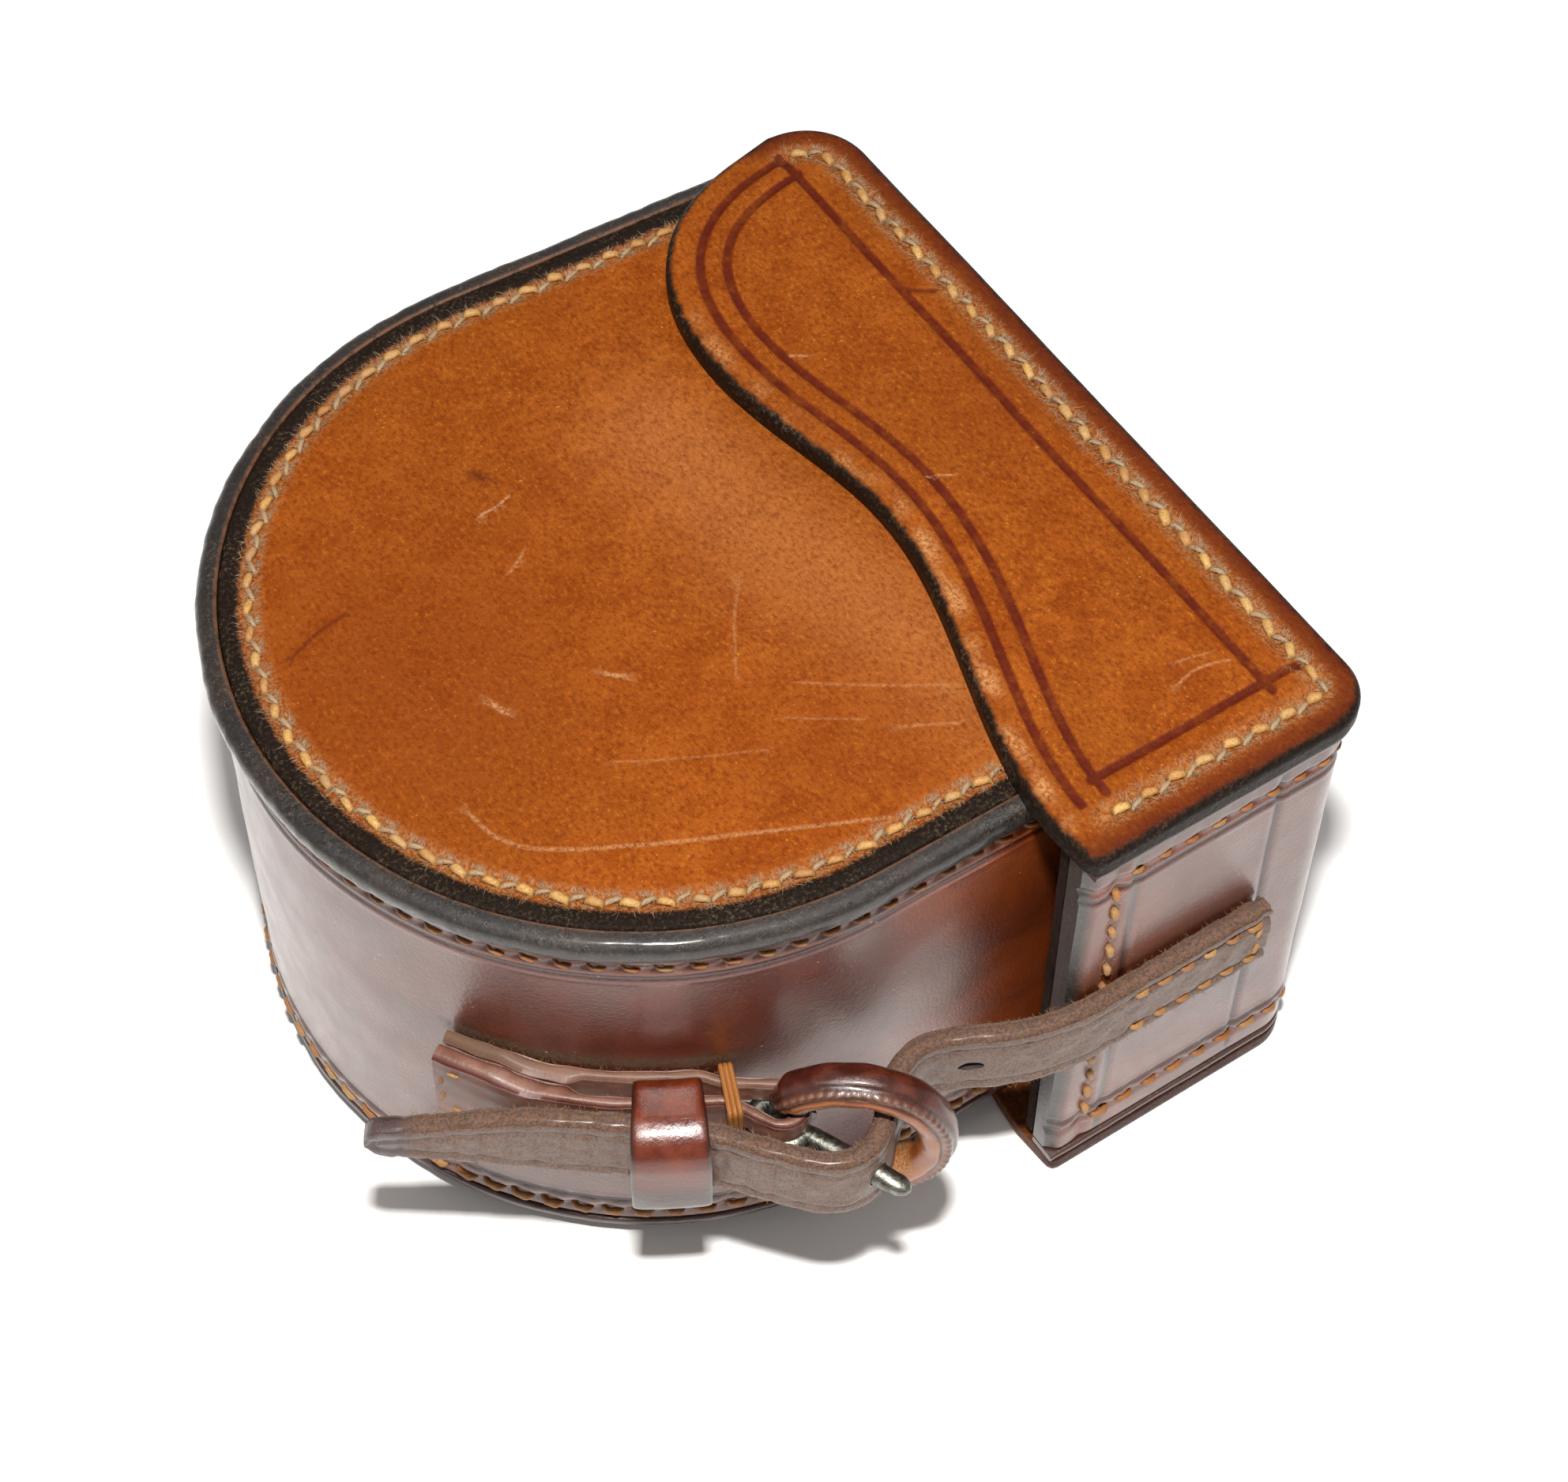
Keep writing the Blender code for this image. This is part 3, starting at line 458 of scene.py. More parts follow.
def rounded_section(low_a, high_a, low_b, high_b, radius, gap, corner):
    """Rectangle with rounded corners, with its sides split into steps of about the gap."""
    loop = []
    corners = [
        (high_a - radius, high_b - radius, 0.0), (low_a + radius, high_b - radius, 90.0),
        (low_a + radius, low_b + radius, 180.0), (high_a - radius, low_b + radius, 270.0)]
    for centre_a, centre_b, first in corners:
        for angle in np.radians(np.linspace(first, first + 90.0, corner + 1)):
            loop.append((centre_a + radius * math.cos(angle), centre_b + radius * math.sin(angle)))
    full = []
    for (a0, b0), (a1, b1) in zip(loop, loop[1:] + loop[:1]):
        steps = max(1, int(math.hypot(a1 - a0, b1 - b0) / gap))
        for step in range(steps):
            full.append((a0 + (a1 - a0) * step / steps, b0 + (b1 - b0) * step / steps))
    return full


def rows_along(line, offsets, step):
    """Plan points in rows beside a line."""
    path = Path(line, 1, step)
    return np.concatenate([path.points + offset * path.out for offset in offsets])


def plate(name, loop, z_low, z_high, rounding, lines, relief, fields, material, body, slot,
          replaces, up, rim_ink=1.0):
    """Leather plate: rounded rim, and a worked face with points gathered along its lines.

    lines are (points, offsets, step); relief and fields take plan points of the worked face,
    and a field may be one number.
    """
    loop = counter_clockwise(loop)
    closed = np.vstack([loop, loop[:1]])
    loop = Path(closed, 1, 0.7).points[:-1]
    count = len(loop)
    sign = 1 if up else -1
    face_z, back_z = (z_high, z_low) if up else (z_low, z_high)
    rim = [(0.25, back_z), (0.07, back_z + sign * 0.07), (0.0, back_z + sign * 0.25)]
    for step in np.linspace(0.15, 0.85, 4):
        rim.append((0.0, back_z + sign * 0.25 + (face_z - back_z - sign * (0.25 + rounding)) * step))
    for angle in np.radians(np.linspace(0, 90, 8)):
        rim.append((rounding * (1 - math.cos(angle)), face_z - sign * rounding * (1 - math.sin(angle))))
    points = [np.column_stack([inset_loop(loop, inset), np.full(count, z)]) for inset, z in rim]
    faces = tube_faces(len(rim), count)[:-1]
    edge = points[-1][:, :2]
    first = (len(rim) - 1) * count

    gathered = [rows_along(line, offsets, step) for line, offsets, step in lines]
    gathered.append(rows_along(np.vstack([edge, edge[:1]]), (-0.5, -1.1, -1.9), 0.9))
    low, high = edge.min(axis=0), edge.max(axis=0)
    xs = np.arange(low[0], high[0], PLATE_SPACING)
    ys = np.arange(low[1], high[1], PLATE_SPACING * 0.87)
    grid_x, grid_y = np.meshgrid(xs, ys)
    grid_x = grid_x + (np.arange(len(ys)) % 2)[:, None] * PLATE_SPACING / 2
    hexes = np.column_stack([grid_x.ravel(), grid_y.ravel()])
    keep = np.ones(len(hexes), bool)
    for line, offsets, step in lines:
        keep &= distance_to(hexes, line) > max(abs(o) for o in offsets) + 0.4 * PLATE_SPACING
    inner = np.vstack(gathered + [hexes[keep]])
    inner = inner[inside(inner, edge)]
    inner = inner[distance_to(inner, np.vstack([edge, edge[:1]])) > 0.25]
    _, kept = np.unique(np.round(inner / 0.16).astype(int), axis=0, return_index=True)
    inner = inner[np.sort(kept)]
    ring = [(i, (i + 1) % count) for i in range(count)]
    flat, _, triangles, origins, _, _ = delaunay_2d_cdt(
        [Vector(p) for p in np.vstack([edge, inner])], ring, [], 1, 1e-5)
    where = {}
    extra = []
    for index, source in enumerate(origins):
        rim_point = [s for s in source if s < count]
        if rim_point:
            where[index] = first + rim_point[0]
        else:
            where[index] = len(rim) * count + len(extra)
            extra.append((flat[index].x, flat[index].y, face_z))
    faces += [[where[k] for k in triangle] for triangle in triangles]
    points = np.vstack(points + [np.array(extra)])
    plan = points[:, :2]
    worked = smooth(1 - np.abs(points[:, 2] - face_z) / (rounding + 0.05))
    points[:, 2] += sign * relief(plan) * worked
    values = {key: field(plan) if callable(field) else field for key, field in fields.items()}
    values["flank"] = rim_ink * np.clip(np.abs(points[:, 2] - face_z) / max(rounding, 0.3), 0, 1) * (
        np.arange(len(points)) < len(rim) * count)
    return build(name, points, faces, material, body, slot, replaces, **values)


# Stitches and loose fibres

def seam_places(path, start, end, z, out=None):
    """Stitch centres, tangents and surface normals along a plan path.

    With out, the seam is on a wall that far outside the path; without it, on a flat face.
    """
    count = int(round((end - start) / STITCH_PITCH))
    along = start + (np.arange(count) + 0.5) * (end - start) / count
    point, tangent, normal = path.at(along)
    flat = np.zeros((count, 1))
    tangent = np.hstack([tangent, flat])
    if out is None:
        up = np.tile([0.0, 0.0, 1.0 if z > 30 else -1.0], (count, 1))
    else:
        point = point + normal * out
        up = np.hstack([normal, flat])
    return np.hstack([point, flat + z]), tangent, up


def stitches(name, places, body, node, length=2.9, radius=0.52, slant=14.0, lift=0.12,
             seed=1, tint=0.5, grey=0.1):
    """Two-ply stitches, each dipping into its holes at both ends."""
    centre, tangent, up = places
    random = np.random.default_rng(seed)
    count = len(centre)
    rings, sides = 11, 10
    u = np.linspace(-1, 1, rings)
    theta = np.arange(sides) * 2 * math.pi / sides
    angle = np.radians(slant + random.normal(0, 5, count))
    side = np.cross(tangent, up)
    along = tangent * np.cos(angle)[:, None] + side * np.sin(angle)[:, None]
    across = np.cross(along, up)
    half = length / 2 * random.uniform(0.88, 1.08, count)
    thick = radius * random.uniform(0.86, 1.12, count)
    centre = centre + side * random.normal(0, 0.08, count)[:, None]
    height = lift - 0.75 * np.abs(u) ** 3.0
    taper = (1 - np.abs(u) ** 4) ** 0.5 * 0.62 + 0.38
    ply = 0.8 + 0.24 * np.abs(np.cos(theta[None, :] - 2.6 * u[:, None]))
    ring = taper[:, None] * ply
    body_line = centre[:, None] + along[:, None] * (half[:, None] * u)[..., None]
    body_line = body_line + up[:, None] * height[None, :, None]
    offset = (across[:, None, None] * np.cos(theta)[None, None, :, None]
              + up[:, None, None] * np.sin(theta)[None, None, :, None] * 0.85)
    points = body_line[:, :, None] + offset * (ring[None] * thick[:, None, None])[..., None]
    points = points.reshape(-1, 3)
    one = tube_faces(rings, sides)
    faces = []
    for index in range(count):
        base = index * rings * sides
        faces += [[base + k for k in face] for face in one]
    shade = np.repeat(np.clip(tint + random.normal(0, 0.2, count), 0, 1), rings * sides)
    greyed = np.repeat(np.clip(grey + random.normal(0, 0.1, count), 0, 1), rings * sides)
    tip = np.tile(np.repeat(np.abs(u), sides), count)
    build(name, points, faces, MATERIALS["thread"], body, "linen_thread",
          (node,) if node else (), sharp=60, shade=shade, tip=tip, grey=greyed)


def worn_strand(name, path, margin, z, body, seed):
    """Low grey strand that crosses each gap between two stitches."""
    centre, tangent, up = seam_places(path, margin + STITCH_PITCH / 2,
                                      path.length - margin - STITCH_PITCH / 2, z)
    side = np.cross(tangent, up)
    places = (centre + side * 0.35, tangent, up)
    stitches(name, places, body, None, length=2.5, radius=0.3, slant=-24.0, lift=-0.08,
             seed=seed, tint=0.3, grey=0.85)
    fibres(name + "_tufts", (centre + side * 0.55 + up * 0.1, tangent, up), body, 60, 0.5, 0.95,
           seed + 50, lie=0.9, spread=0.8)


def fibres(name, places, body, per_place, reach, length, seed, lie=0.3, slot="linen_thread",
           material="fuzz", radius=0.02, spread=1.8):
    """Fine loose hairs beside a row of places."""
    centre, tangent, up = places
    random = np.random.default_rng(seed)
    count = len(centre) * per_place
    pick = np.repeat(np.arange(len(centre)), per_place)
    t, n = tangent[pick], up[pick]
    side = np.cross(t, n)
    away = np.sign(random.uniform(-1, 1, count))
    root = centre[pick] + t * random.uniform(-spread, spread, count)[:, None]
    root = root + side * (away * random.uniform(0.1, reach, count))[:, None] - n * 0.08
    way = side * away[:, None] * random.uniform(0.2, 1.0, count)[:, None]
    way = way + t * random.normal(0, 0.5, count)[:, None]
    way = way + n * random.uniform(0.05, lie, count)[:, None]
    way /= np.linalg.norm(way, axis=1, keepdims=True)
    bend = way + random.normal(0, 0.35, (count, 3)) - n * 0.15
    size = length * random.uniform(0.35, 1.0, count)[:, None]
    middle = root + way * size * 0.55
    tip = middle + bend * size * 0.45
    across = np.cross(way, random.normal(size=(count, 3)))
    across /= np.linalg.norm(across, axis=1, keepdims=True)
    other = np.cross(way, across)
    points = []
    for centre_line, width in ((root, radius), (middle, radius * 0.8)):
        for angle in (0.0, 2.094, 4.189):
            points.append(centre_line + (across * math.cos(angle) + other * math.sin(angle)) * width)
    points.append(tip)
    points = np.stack(points, 1).reshape(-1, 3)
    one = [(0, 1, 4, 3), (1, 2, 5, 4), (2, 0, 3, 5), (3, 4, 6), (4, 5, 6), (5, 3, 6), (0, 2, 1)]
    faces = [[index * 7 + k for k in face] for index in range(count) for face in one]
    build(name, points, faces, MATERIALS[material], body, slot)


def panel_seam(name, body, seam, margin, z, seeds, fluff, **look):
    """Seam on a flat face: stitches, the worn strand between them, and fluff if it has any."""
    places = seam_places(seam, margin, seam.length - margin, z)
    stitches(name + "_stitches", places, body, name + "_thread", length=2.6, seed=seeds[0], **look)
    worn_strand(name + "_strand", seam, margin, z, body, seeds[1])
    if fluff:
        fibres(name + "_fibres", places, body, *fluff)


def wall_seam(name, body, places, seeds, length, radius, lift, tint):
    """Seam on a wall: stitches and a few loose fibres."""
    stitches(name + "_stitches", places, body, name + "_thread", length, radius, 12.0, lift,
             seeds[0], tint)
    fibres(name + "_fibres", places, body, 4, 0.8, 0.8, seeds[1])


def rim_fibres(name, path, half_width, picked, sign, body, slot, *look, radius=0.02):
    """Brown fibres along one rim of a ribbon."""
    count = len(path.points[picked])
    centre = np.column_stack([path.points[picked], STRAP_Z + sign * (half_width[picked] - 0.05)])
    tangent = np.hstack([path.tangent[picked], np.zeros((count, 1))])
    up = np.tile([0.0, 0.0, float(sign)], (count, 1))
    fibres(name, (centre, tangent, up), body, *look, lie=0.7, slot=slot, material="brown_fuzz",
           radius=radius, spread=0.6)


# Materials

ROOM_LIGHT = 2.0


def srgb(red, green, blue):
    """Surface colour that looks like this screen colour under the room's light."""
    return tuple(
        ((v / 255 + 0.055) / 1.055) ** 2.4 / ROOM_LIGHT for v in (red, green, blue)) + (1.0,)


class Shader:
    """Principled material with short names for the nodes that it is built from."""

    def __init__(self, name, roughness=0.5, **sockets):
        self.material = bpy.data.materials.new(name)
        self.material.use_nodes = True
        self.tree = self.material.node_tree
        self.bsdf = self.tree.nodes["Principled BSDF"]
        self.bsdf.inputs["Roughness"].default_value = roughness
        for key, value in sockets.items():
            self.bsdf.inputs[key.replace("_", " ")].default_value = value
        place = self.tree.nodes.new("ShaderNodeTexCoord")
        scale = self.tree.nodes.new("ShaderNodeVectorMath")
        scale.operation = "SCALE"
        scale.inputs["Scale"].default_value = 1 / MM
        self.tree.links.new(place.outputs["Object"], scale.inputs[0])
        self.place = scale.outputs["Vector"]
        self.height = None

    def feed(self, socket, value):
        if isinstance(value, bpy.types.NodeSocket):
            self.tree.links.new(value, socket)
        elif hasattr(socket, "default_value"):
            socket.default_value = value

    def math(self, operation, a, b):
        node = self.tree.nodes.new("ShaderNodeMath")
        node.operation = operation
        self.feed(node.inputs[0], a)
        self.feed(node.inputs[1], b)
        return node.outputs["Value"]

    def field(self, name):
        node = self.tree.nodes.new("ShaderNodeAttribute")
        node.attribute_name = name
        return node.outputs["Fac"]

    def stretch(self, x, y, z):
        node = self.tree.nodes.new("ShaderNodeVectorMath")
        node.operation = "MULTIPLY"
        self.feed(node.inputs[0], self.place)
        node.inputs[1].default_value = (x, y, z)
        return node.outputs["Vector"]

    def noise(self, size, detail=3.0, rough=0.55, place=None, distortion=0.0):
        node = self.tree.nodes.new("ShaderNodeTexNoise")
        self.feed(node.inputs["Vector"], place or self.place)
        node.inputs["Scale"].default_value = 1 / size
        node.inputs["Detail"].default_value = detail
        node.inputs["Roughness"].default_value = rough
        node.inputs["Distortion"].default_value = distortion
        return node.outputs["Fac"]

    def cells(self, size, feature="F1"):
        node = self.tree.nodes.new("ShaderNodeTexVoronoi")
        node.feature = feature
        self.feed(node.inputs["Vector"], self.place)
        node.inputs["Scale"].default_value = 1 / size
        return node.outputs["Distance"]

    def span(self, value, low, high, out_low=0.0, out_high=1.0):
        """Value carried from one range to another, smoothly and with no overshoot."""
        node = self.tree.nodes.new("ShaderNodeMapRange")
        node.interpolation_type = "SMOOTHSTEP"
        self.feed(node.inputs["Value"], value)
        for key, number in (("From Min", low), ("From Max", high),
                            ("To Min", out_low), ("To Max", out_high)):
            self.feed(node.inputs[key], number)
        return node.outputs["Result"]

    def mix(self, factor, a, b):
        node = self.tree.nodes.new("ShaderNodeMix")
        node.data_type = "RGBA"
        self.feed(node.inputs["Factor"], factor)
        self.feed(node.inputs[6], a)
        self.feed(node.inputs[7], b)
        return node.outputs[2]

    def layers(self, base, *pairs):
        """Base with pairs of (factor, screen colour) laid over it in turn."""
        for factor, colour in pairs:
            base = self.mix(factor, base, srgb(*colour))
        return base

    def times(self, *values):
        product = values[0]
        for value in values[1:]:
            product = self.math("MULTIPLY", product, value)
        return product

    def plus(self, *values):
        total = values[0]
        for value in values[1:]:
            total = self.math("ADD", total, value)
        return total

    def colour(self, value):
        self.feed(self.bsdf.inputs["Base Color"], value)

    def roughness(self, value):
        self.feed(self.bsdf.inputs["Roughness"], value)

    def relief(self, value, depth):
        """Adds a height in millimetres to the bump."""
        node = self.tree.nodes.new("ShaderNodeBump")
        node.inputs["Distance"].default_value = depth * MM
        self.feed(node.inputs["Height"], value)
        if self.height:
            self.tree.links.new(self.height, node.inputs["Normal"])
        self.height = node.outputs["Normal"]
        self.tree.links.new(self.height, self.bsdf.inputs["Normal"])


def edge_speckle(shader, base):
    """Burnished edge: near black, with worn grey-brown fibre showing through."""
    fleck = shader.span(shader.noise(0.5, 5, 0.8), 0.50, 0.64)
    worn = shader.span(shader.noise(8.0, 3, 0.6), 0.40, 0.62, 0.25, 1.0)
    grey = shader.mix(shader.noise(0.3, 3), srgb(72, 58, 44), srgb(128, 110, 86))
    return shader.mix(shader.times(fleck, worn, 0.8), base, grey)


def panel_leather():
    """Tan top leather: mottled, creased, dark at its edges, rubbed beside the seams, and with a painted
    sheen.
    """
    shader = Shader("tan_panel_leather", Specular_IOR_Level=0.07)
    broad = shader.noise(24.0, 2, 0.5)
    cloud = shader.noise(4.6, 5, 0.68, distortion=0.4)
    rows = shader.noise(0.5, 4, 0.72, shader.stretch(1.0, 0.6, 1.0))
    fine = shader.noise(0.17, 2, 0.7)
    tan = shader.mix(shader.span(cloud, 0.32, 0.70), srgb(158, 72, 6), srgb(186, 97, 25))
    flecks = shader.times(shader.span(shader.noise(0.45, 2, 0.5), 0.66, 0.72),
                          shader.span(shader.noise(9.0, 3), 0.48, 0.66), 0.8)
    # Painted sheen: a lighter pinkish patch that stands in for light reflected off the tan top.
    painted_sheen = shader.times(shader.field("painted_sheen"), shader.span(rows, 0.3, 0.6, 0.35, 1.0), 0.6)
    dull = shader.times(shader.field("dull"), shader.span(cloud, 0.3, 0.7, 0.5, 1.0))
    near_seam = shader.span(shader.field("seam"), 0.6, 2.4, 1.0, 0.0)
    rubbed = shader.times(near_seam, shader.span(shader.noise(0.4, 4, 0.75), 0.42, 0.62))
    margin = shader.times(shader.span(shader.field("margin"), 0.8, 5.2, 1.0, 0.0),
                          shader.span(cloud, 0.3, 0.7, 0.65, 1.0))
    crease = shader.span(shader.field("crease"), 0.38, 0.80, 1.0, 0.0)
    crease = shader.times(crease, shader.span(shader.noise(2.4, 4), 0.3, 0.6, 0.62, 0.95))
    worn = shader.times(
        shader.field("worn"), shader.span(shader.noise(0.5, 4, 0.75), 0.36, 0.62))
    pale = shader.times(shader.math("MAXIMUM", shader.field("mark"), 0.0),
                        shader.span(shader.noise(0.5, 4, 0.75), 0.36, 0.60))
    dark = shader.math("MAXIMUM", shader.times(shader.field("mark"), -1.0), 0.0)
    tan = shader.layers(
        tan,
        (shader.span(broad, 0.42, 0.64, 0.0, 0.6), (163, 83, 16)),
        (shader.span(rows, 0.36, 0.50, 0.62, 0.0), (122, 48, 4)),
        (shader.span(rows, 0.54, 0.70, 0.0, 0.7), (214, 124, 38)),
        (flecks, (232, 158, 66)),
        (shader.span(fine, 0.52, 0.75, 0.0, 0.4), (112, 46, 10)),
        (painted_sheen, (212, 132, 72)),
        (dull, (136, 56, 8)),
        (margin, (100, 34, 13)),
        (shader.times(rubbed, 0.62), (206, 150, 96)),
        (crease, (102, 30, 14)),
        (worn, (226, 164, 104)),
        (pale, (226, 172, 120)),
        (dark, (92, 26, 14)))
    wobble = shader.plus(
        shader.field("edge"), shader.span(shader.noise(1.6, 4, 0.6), 0.2, 0.8, -0.25, 0.25))
    ink = shader.field("ink")
    black = shader.span(wobble, ink, shader.plus(ink, 0.85), 1.0, 0.0)
    black = shader.math("MAXIMUM", black, shader.field("flank"))
    shader.colour(shader.mix(black, tan, edge_speckle(shader, srgb(34, 23, 17))))
    rough = shader.plus(shader.span(cloud, 0.3, 0.7, 0.42, 0.56), shader.times(rubbed, 0.25))
    shader.roughness(shader.math("SUBTRACT", rough, shader.times(black, 0.14)))
    shader.relief(rows, 0.26)
    shader.relief(fine, 0.04)
    shader.relief(shader.cells(0.7), 0.05)
    return shader.material


def wall_leather():
    """Dark polished side leather with handling wear, dark creases, grime and painted highlight specks."""
    shader = Shader(
        "mahogany_wall_leather", Specular_IOR_Level=0.75, Coat_Weight=0.3, Coat_Roughness=0.22)
    cloud = shader.noise(9.0, 4, 0.6, distortion=0.8)
    grain = shader.noise(0.42, 4, 0.7)
    base = shader.mix(shader.span(cloud, 0.32, 0.7), srgb(96, 35, 15), srgb(116, 46, 20))
    warm = shader.times(shader.field("warm"), shader.span(cloud, 0.25, 0.65, 0.5, 1.0))
    grime = shader.times(shader.field("grime"), shader.span(shader.noise(0.5, 5, 0.75), 0.32, 0.55))
    near = shader.span(shader.field("seam"), 0.5, 1.6, 1.0, 0.0)
    rubbed = shader.times(near, shader.span(shader.noise(0.4, 4, 0.7), 0.45, 0.62), 0.7)
    base = shader.layers(
        base,
        (warm, (176, 82, 24)),
        (shader.span(grain, 0.5, 0.8, 0.0, 0.35), (156, 84, 48)),
        (shader.span(shader.field("crease"), 0.25, 0.7, 0.85, 0.0), (58, 14, 12)),
        (grime, (104, 84, 52)),
        (rubbed, (150, 74, 32)),
        # Sparse pale specks: painted highlights, tiny glints painted into the wall's colour.
        (shader.span(shader.noise(0.8, 1, 0.3), 0.79, 0.81, 0.0, 0.7), (220, 180, 140)))
    black = shader.field("flank")
    shader.colour(shader.mix(black, base, edge_speckle(shader, srgb(30, 20, 16))))
    shader.roughness(shader.plus(
        shader.span(shader.noise(6.0, 3, 0.6), 0.3, 0.7, 0.27, 0.36), shader.times(grime, 0.5),
        shader.times(black, 0.15), shader.times(rubbed, 0.3)))
    shader.relief(grain, 0.055)
    shader.relief(shader.cells(0.5), 0.025)
    return shader.material


def bead_leather():
    """Burnished edge bead, its polish broken by worn fibre."""
    shader = Shader("burnished_bead_leather", Specular_IOR_Level=0.4, Coat_Weight=0.5,
                    Coat_Roughness=0.14)
    base = shader.mix(shader.span(shader.noise(6.0, 3), 0.35, 0.7), srgb(18, 12, 9),
                      srgb(44, 29, 21))
    line = shader.span(shader.field("edge"), 0.1, 0.55, 1.0, 0.0)
    line = shader.times(line, shader.span(shader.noise(1.6, 3, 0.6), 0.3, 0.6, 0.3, 1.0))
    base = shader.mix(line, base, srgb(124, 76, 46))
    shader.colour(edge_speckle(shader, base))
    shader.roughness(shader.span(shader.noise(1.6, 5, 0.75), 0.3, 0.7, 0.16, 0.48))
    shader.relief(shader.noise(0.36, 5, 0.8), 0.10)
    shader.relief(shader.noise(1.5, 4, 0.7), 0.14)
    return shader.material


def strap_leather():
    """Old strap leather: polished grey-brown face, fuzzy brown edges, cracks across it."""
    shader = Shader("strap_leather", Specular_IOR_Level=1.0, Coat_Weight=0.4,
                    Coat_Roughness=0.25)
    cloud = shader.noise(3.4, 4, 0.68)
    fine = shader.noise(0.32, 5, 0.78)
    face = shader.mix(shader.span(cloud, 0.34, 0.66), srgb(58, 28, 19), srgb(90, 50, 33))
    crack = shader.times(
        shader.field("crack"), shader.span(shader.noise(0.7, 5, 0.75), 0.40, 0.54))
    face = shader.layers(
        face,
        (shader.span(fine, 0.48, 0.7, 0.0, 0.35), (132, 84, 54)),
        (crack, (136, 76, 32)),
        (shader.span(shader.field("crease"), 0.25, 0.75, 0.9, 0.0), (44, 22, 18)))
    suede = shader.mix(shader.span(fine, 0.36, 0.62), srgb(62, 36, 23), srgb(146, 97, 63))
    face = shader.mix(shader.field("suede"), face, suede)
    shader.colour(shader.mix(shader.field("tip"), face, srgb(66, 26, 18)))
    rough = shader.plus(shader.span(cloud, 0.3, 0.7, 0.34, 0.48),
                        shader.times(shader.field("suede"), 0.45), shader.times(crack, 0.3))
    shader.roughness(shader.math("SUBTRACT", rough, shader.times(shader.field("tip"), 0.12)))
    shader.relief(fine, 0.16)
    shader.relief(shader.noise(0.13, 3, 0.7), 0.05)
    return shader.material


def polished_leather(name, dark, light, edge_colour, roughness, suede_colour, suede_dark,
                     suede_roughness=0.5, coat=0.35, coat_roughness=0.1):
    """Small glossy parts: a dark face, coloured edges, and suede where the flesh side shows."""
    shader = Shader(name, Specular_IOR_Level=0.55, Coat_Weight=coat, Coat_Roughness=coat_roughness)
    cloud = shader.noise(3.4, 4, 0.6)
    face = shader.mix(shader.span(cloud, 0.30, 0.70), dark, light)
    crack = shader.span(shader.cells(0.8, "DISTANCE_TO_EDGE"), 0.0, 0.06, 0.4, 0.0)
    face = shader.mix(crack, face, dark)
    face = shader.mix(shader.field("edge"), face, edge_colour)
    fine = shader.noise(0.3, 4, 0.75)
    face = shader.mix(shader.field("suede"), face, shader.mix(fine, suede_dark, suede_colour))
    shader.colour(face)
    shader.roughness(shader.plus(shader.span(cloud, 0.3, 0.7, roughness, roughness + 0.14),
                                 shader.times(shader.field("suede"), suede_roughness)))
    shader.relief(shader.noise(0.5, 4, 0.7), 0.05)
    shader.relief(shader.noise(1.8, 3, 0.6), 0.06)
    return shader.material


def ring_leather():
    """Cover of the ring: dark outside, orange inside, a stitched ridge between them."""
    shader = Shader("ring_leather", Specular_IOR_Level=0.6, Coat_Weight=0.35,
                    Coat_Roughness=0.12)
    cloud = shader.noise(2.6, 4, 0.62)
    dark = shader.mix(shader.span(cloud, 0.3, 0.7), srgb(70, 24, 14), srgb(108, 48, 28))
    light = shader.mix(shader.span(cloud, 0.3, 0.7), srgb(146, 72, 26), srgb(186, 106, 46))
    face = shader.mix(shader.field("inside"), dark, light)
    face = shader.mix(shader.field("ridge"), face, srgb(126, 84, 58))
    face = shader.mix(shader.field("groove"), face, srgb(48, 18, 12))
    fine = shader.noise(0.3, 4, 0.75)
    suede = shader.mix(shader.span(fine, 0.35, 0.65), srgb(140, 76, 30), srgb(216, 148, 84))
    shader.colour(shader.mix(shader.field("suede"), face, suede))
    shader.roughness(shader.plus(
        shader.span(cloud, 0.3, 0.7, 0.2, 0.34), shader.times(shader.field("suede"), 0.5),
        shader.times(shader.field("ridge"), 0.25)))
    shader.relief(fine, 0.06)
    return shader.material


def thread():
    """Waxed linen: golden, greyer where it is worn, darker in its holes."""
    shader = Shader("linen_thread", roughness=0.5, Specular_IOR_Level=0.5)
    ply = shader.noise(0.18, 4, 0.65)
    gold = shader.mix(shader.field("shade"), srgb(190, 112, 36), srgb(252, 200, 112))
    gold = shader.mix(shader.span(ply, 0.4, 0.66, 0.0, 0.6), gold, srgb(150, 84, 28))
    grey = shader.mix(ply, srgb(136, 106, 72), srgb(222, 194, 152))
    gold = shader.mix(shader.field("grey"), gold, grey)
    shader.colour(shader.mix(shader.span(shader.field("tip"), 0.7, 1.0), gold, srgb(104, 52, 22)))
    shader.relief(ply, 0.10)
    return shader.material


def fuzz(name, colour):
    shader = Shader(name, roughness=0.8, Specular_IOR_Level=0.2)
    shader.colour(shader.mix(shader.noise(1.4, 2), colour, srgb(170, 132, 92)))
    return shader.material


def lining_cloth():
    """Napped lining: a fine weave under a soft nap."""
    shader = Shader("lining_cloth", roughness=0.95, Specular_IOR_Level=0.1)
    weave = shader.times(shader.noise(0.3, 2, 0.6, shader.stretch(1, 1, 0.15)),
                         shader.noise(0.3, 2, 0.6, shader.stretch(0.15, 0.15, 1)))
    cloud = shader.noise(7.0, 3, 0.6)
    base = shader.mix(shader.span(cloud, 0.3, 0.7), srgb(30, 20, 17), srgb(52, 34, 27))
    shader.colour(shader.mix(shader.span(weave, 0.15, 0.4, 0.0, 0.4), base, srgb(84, 58, 44)))
    shader.relief(weave, 0.12)
    return shader.material


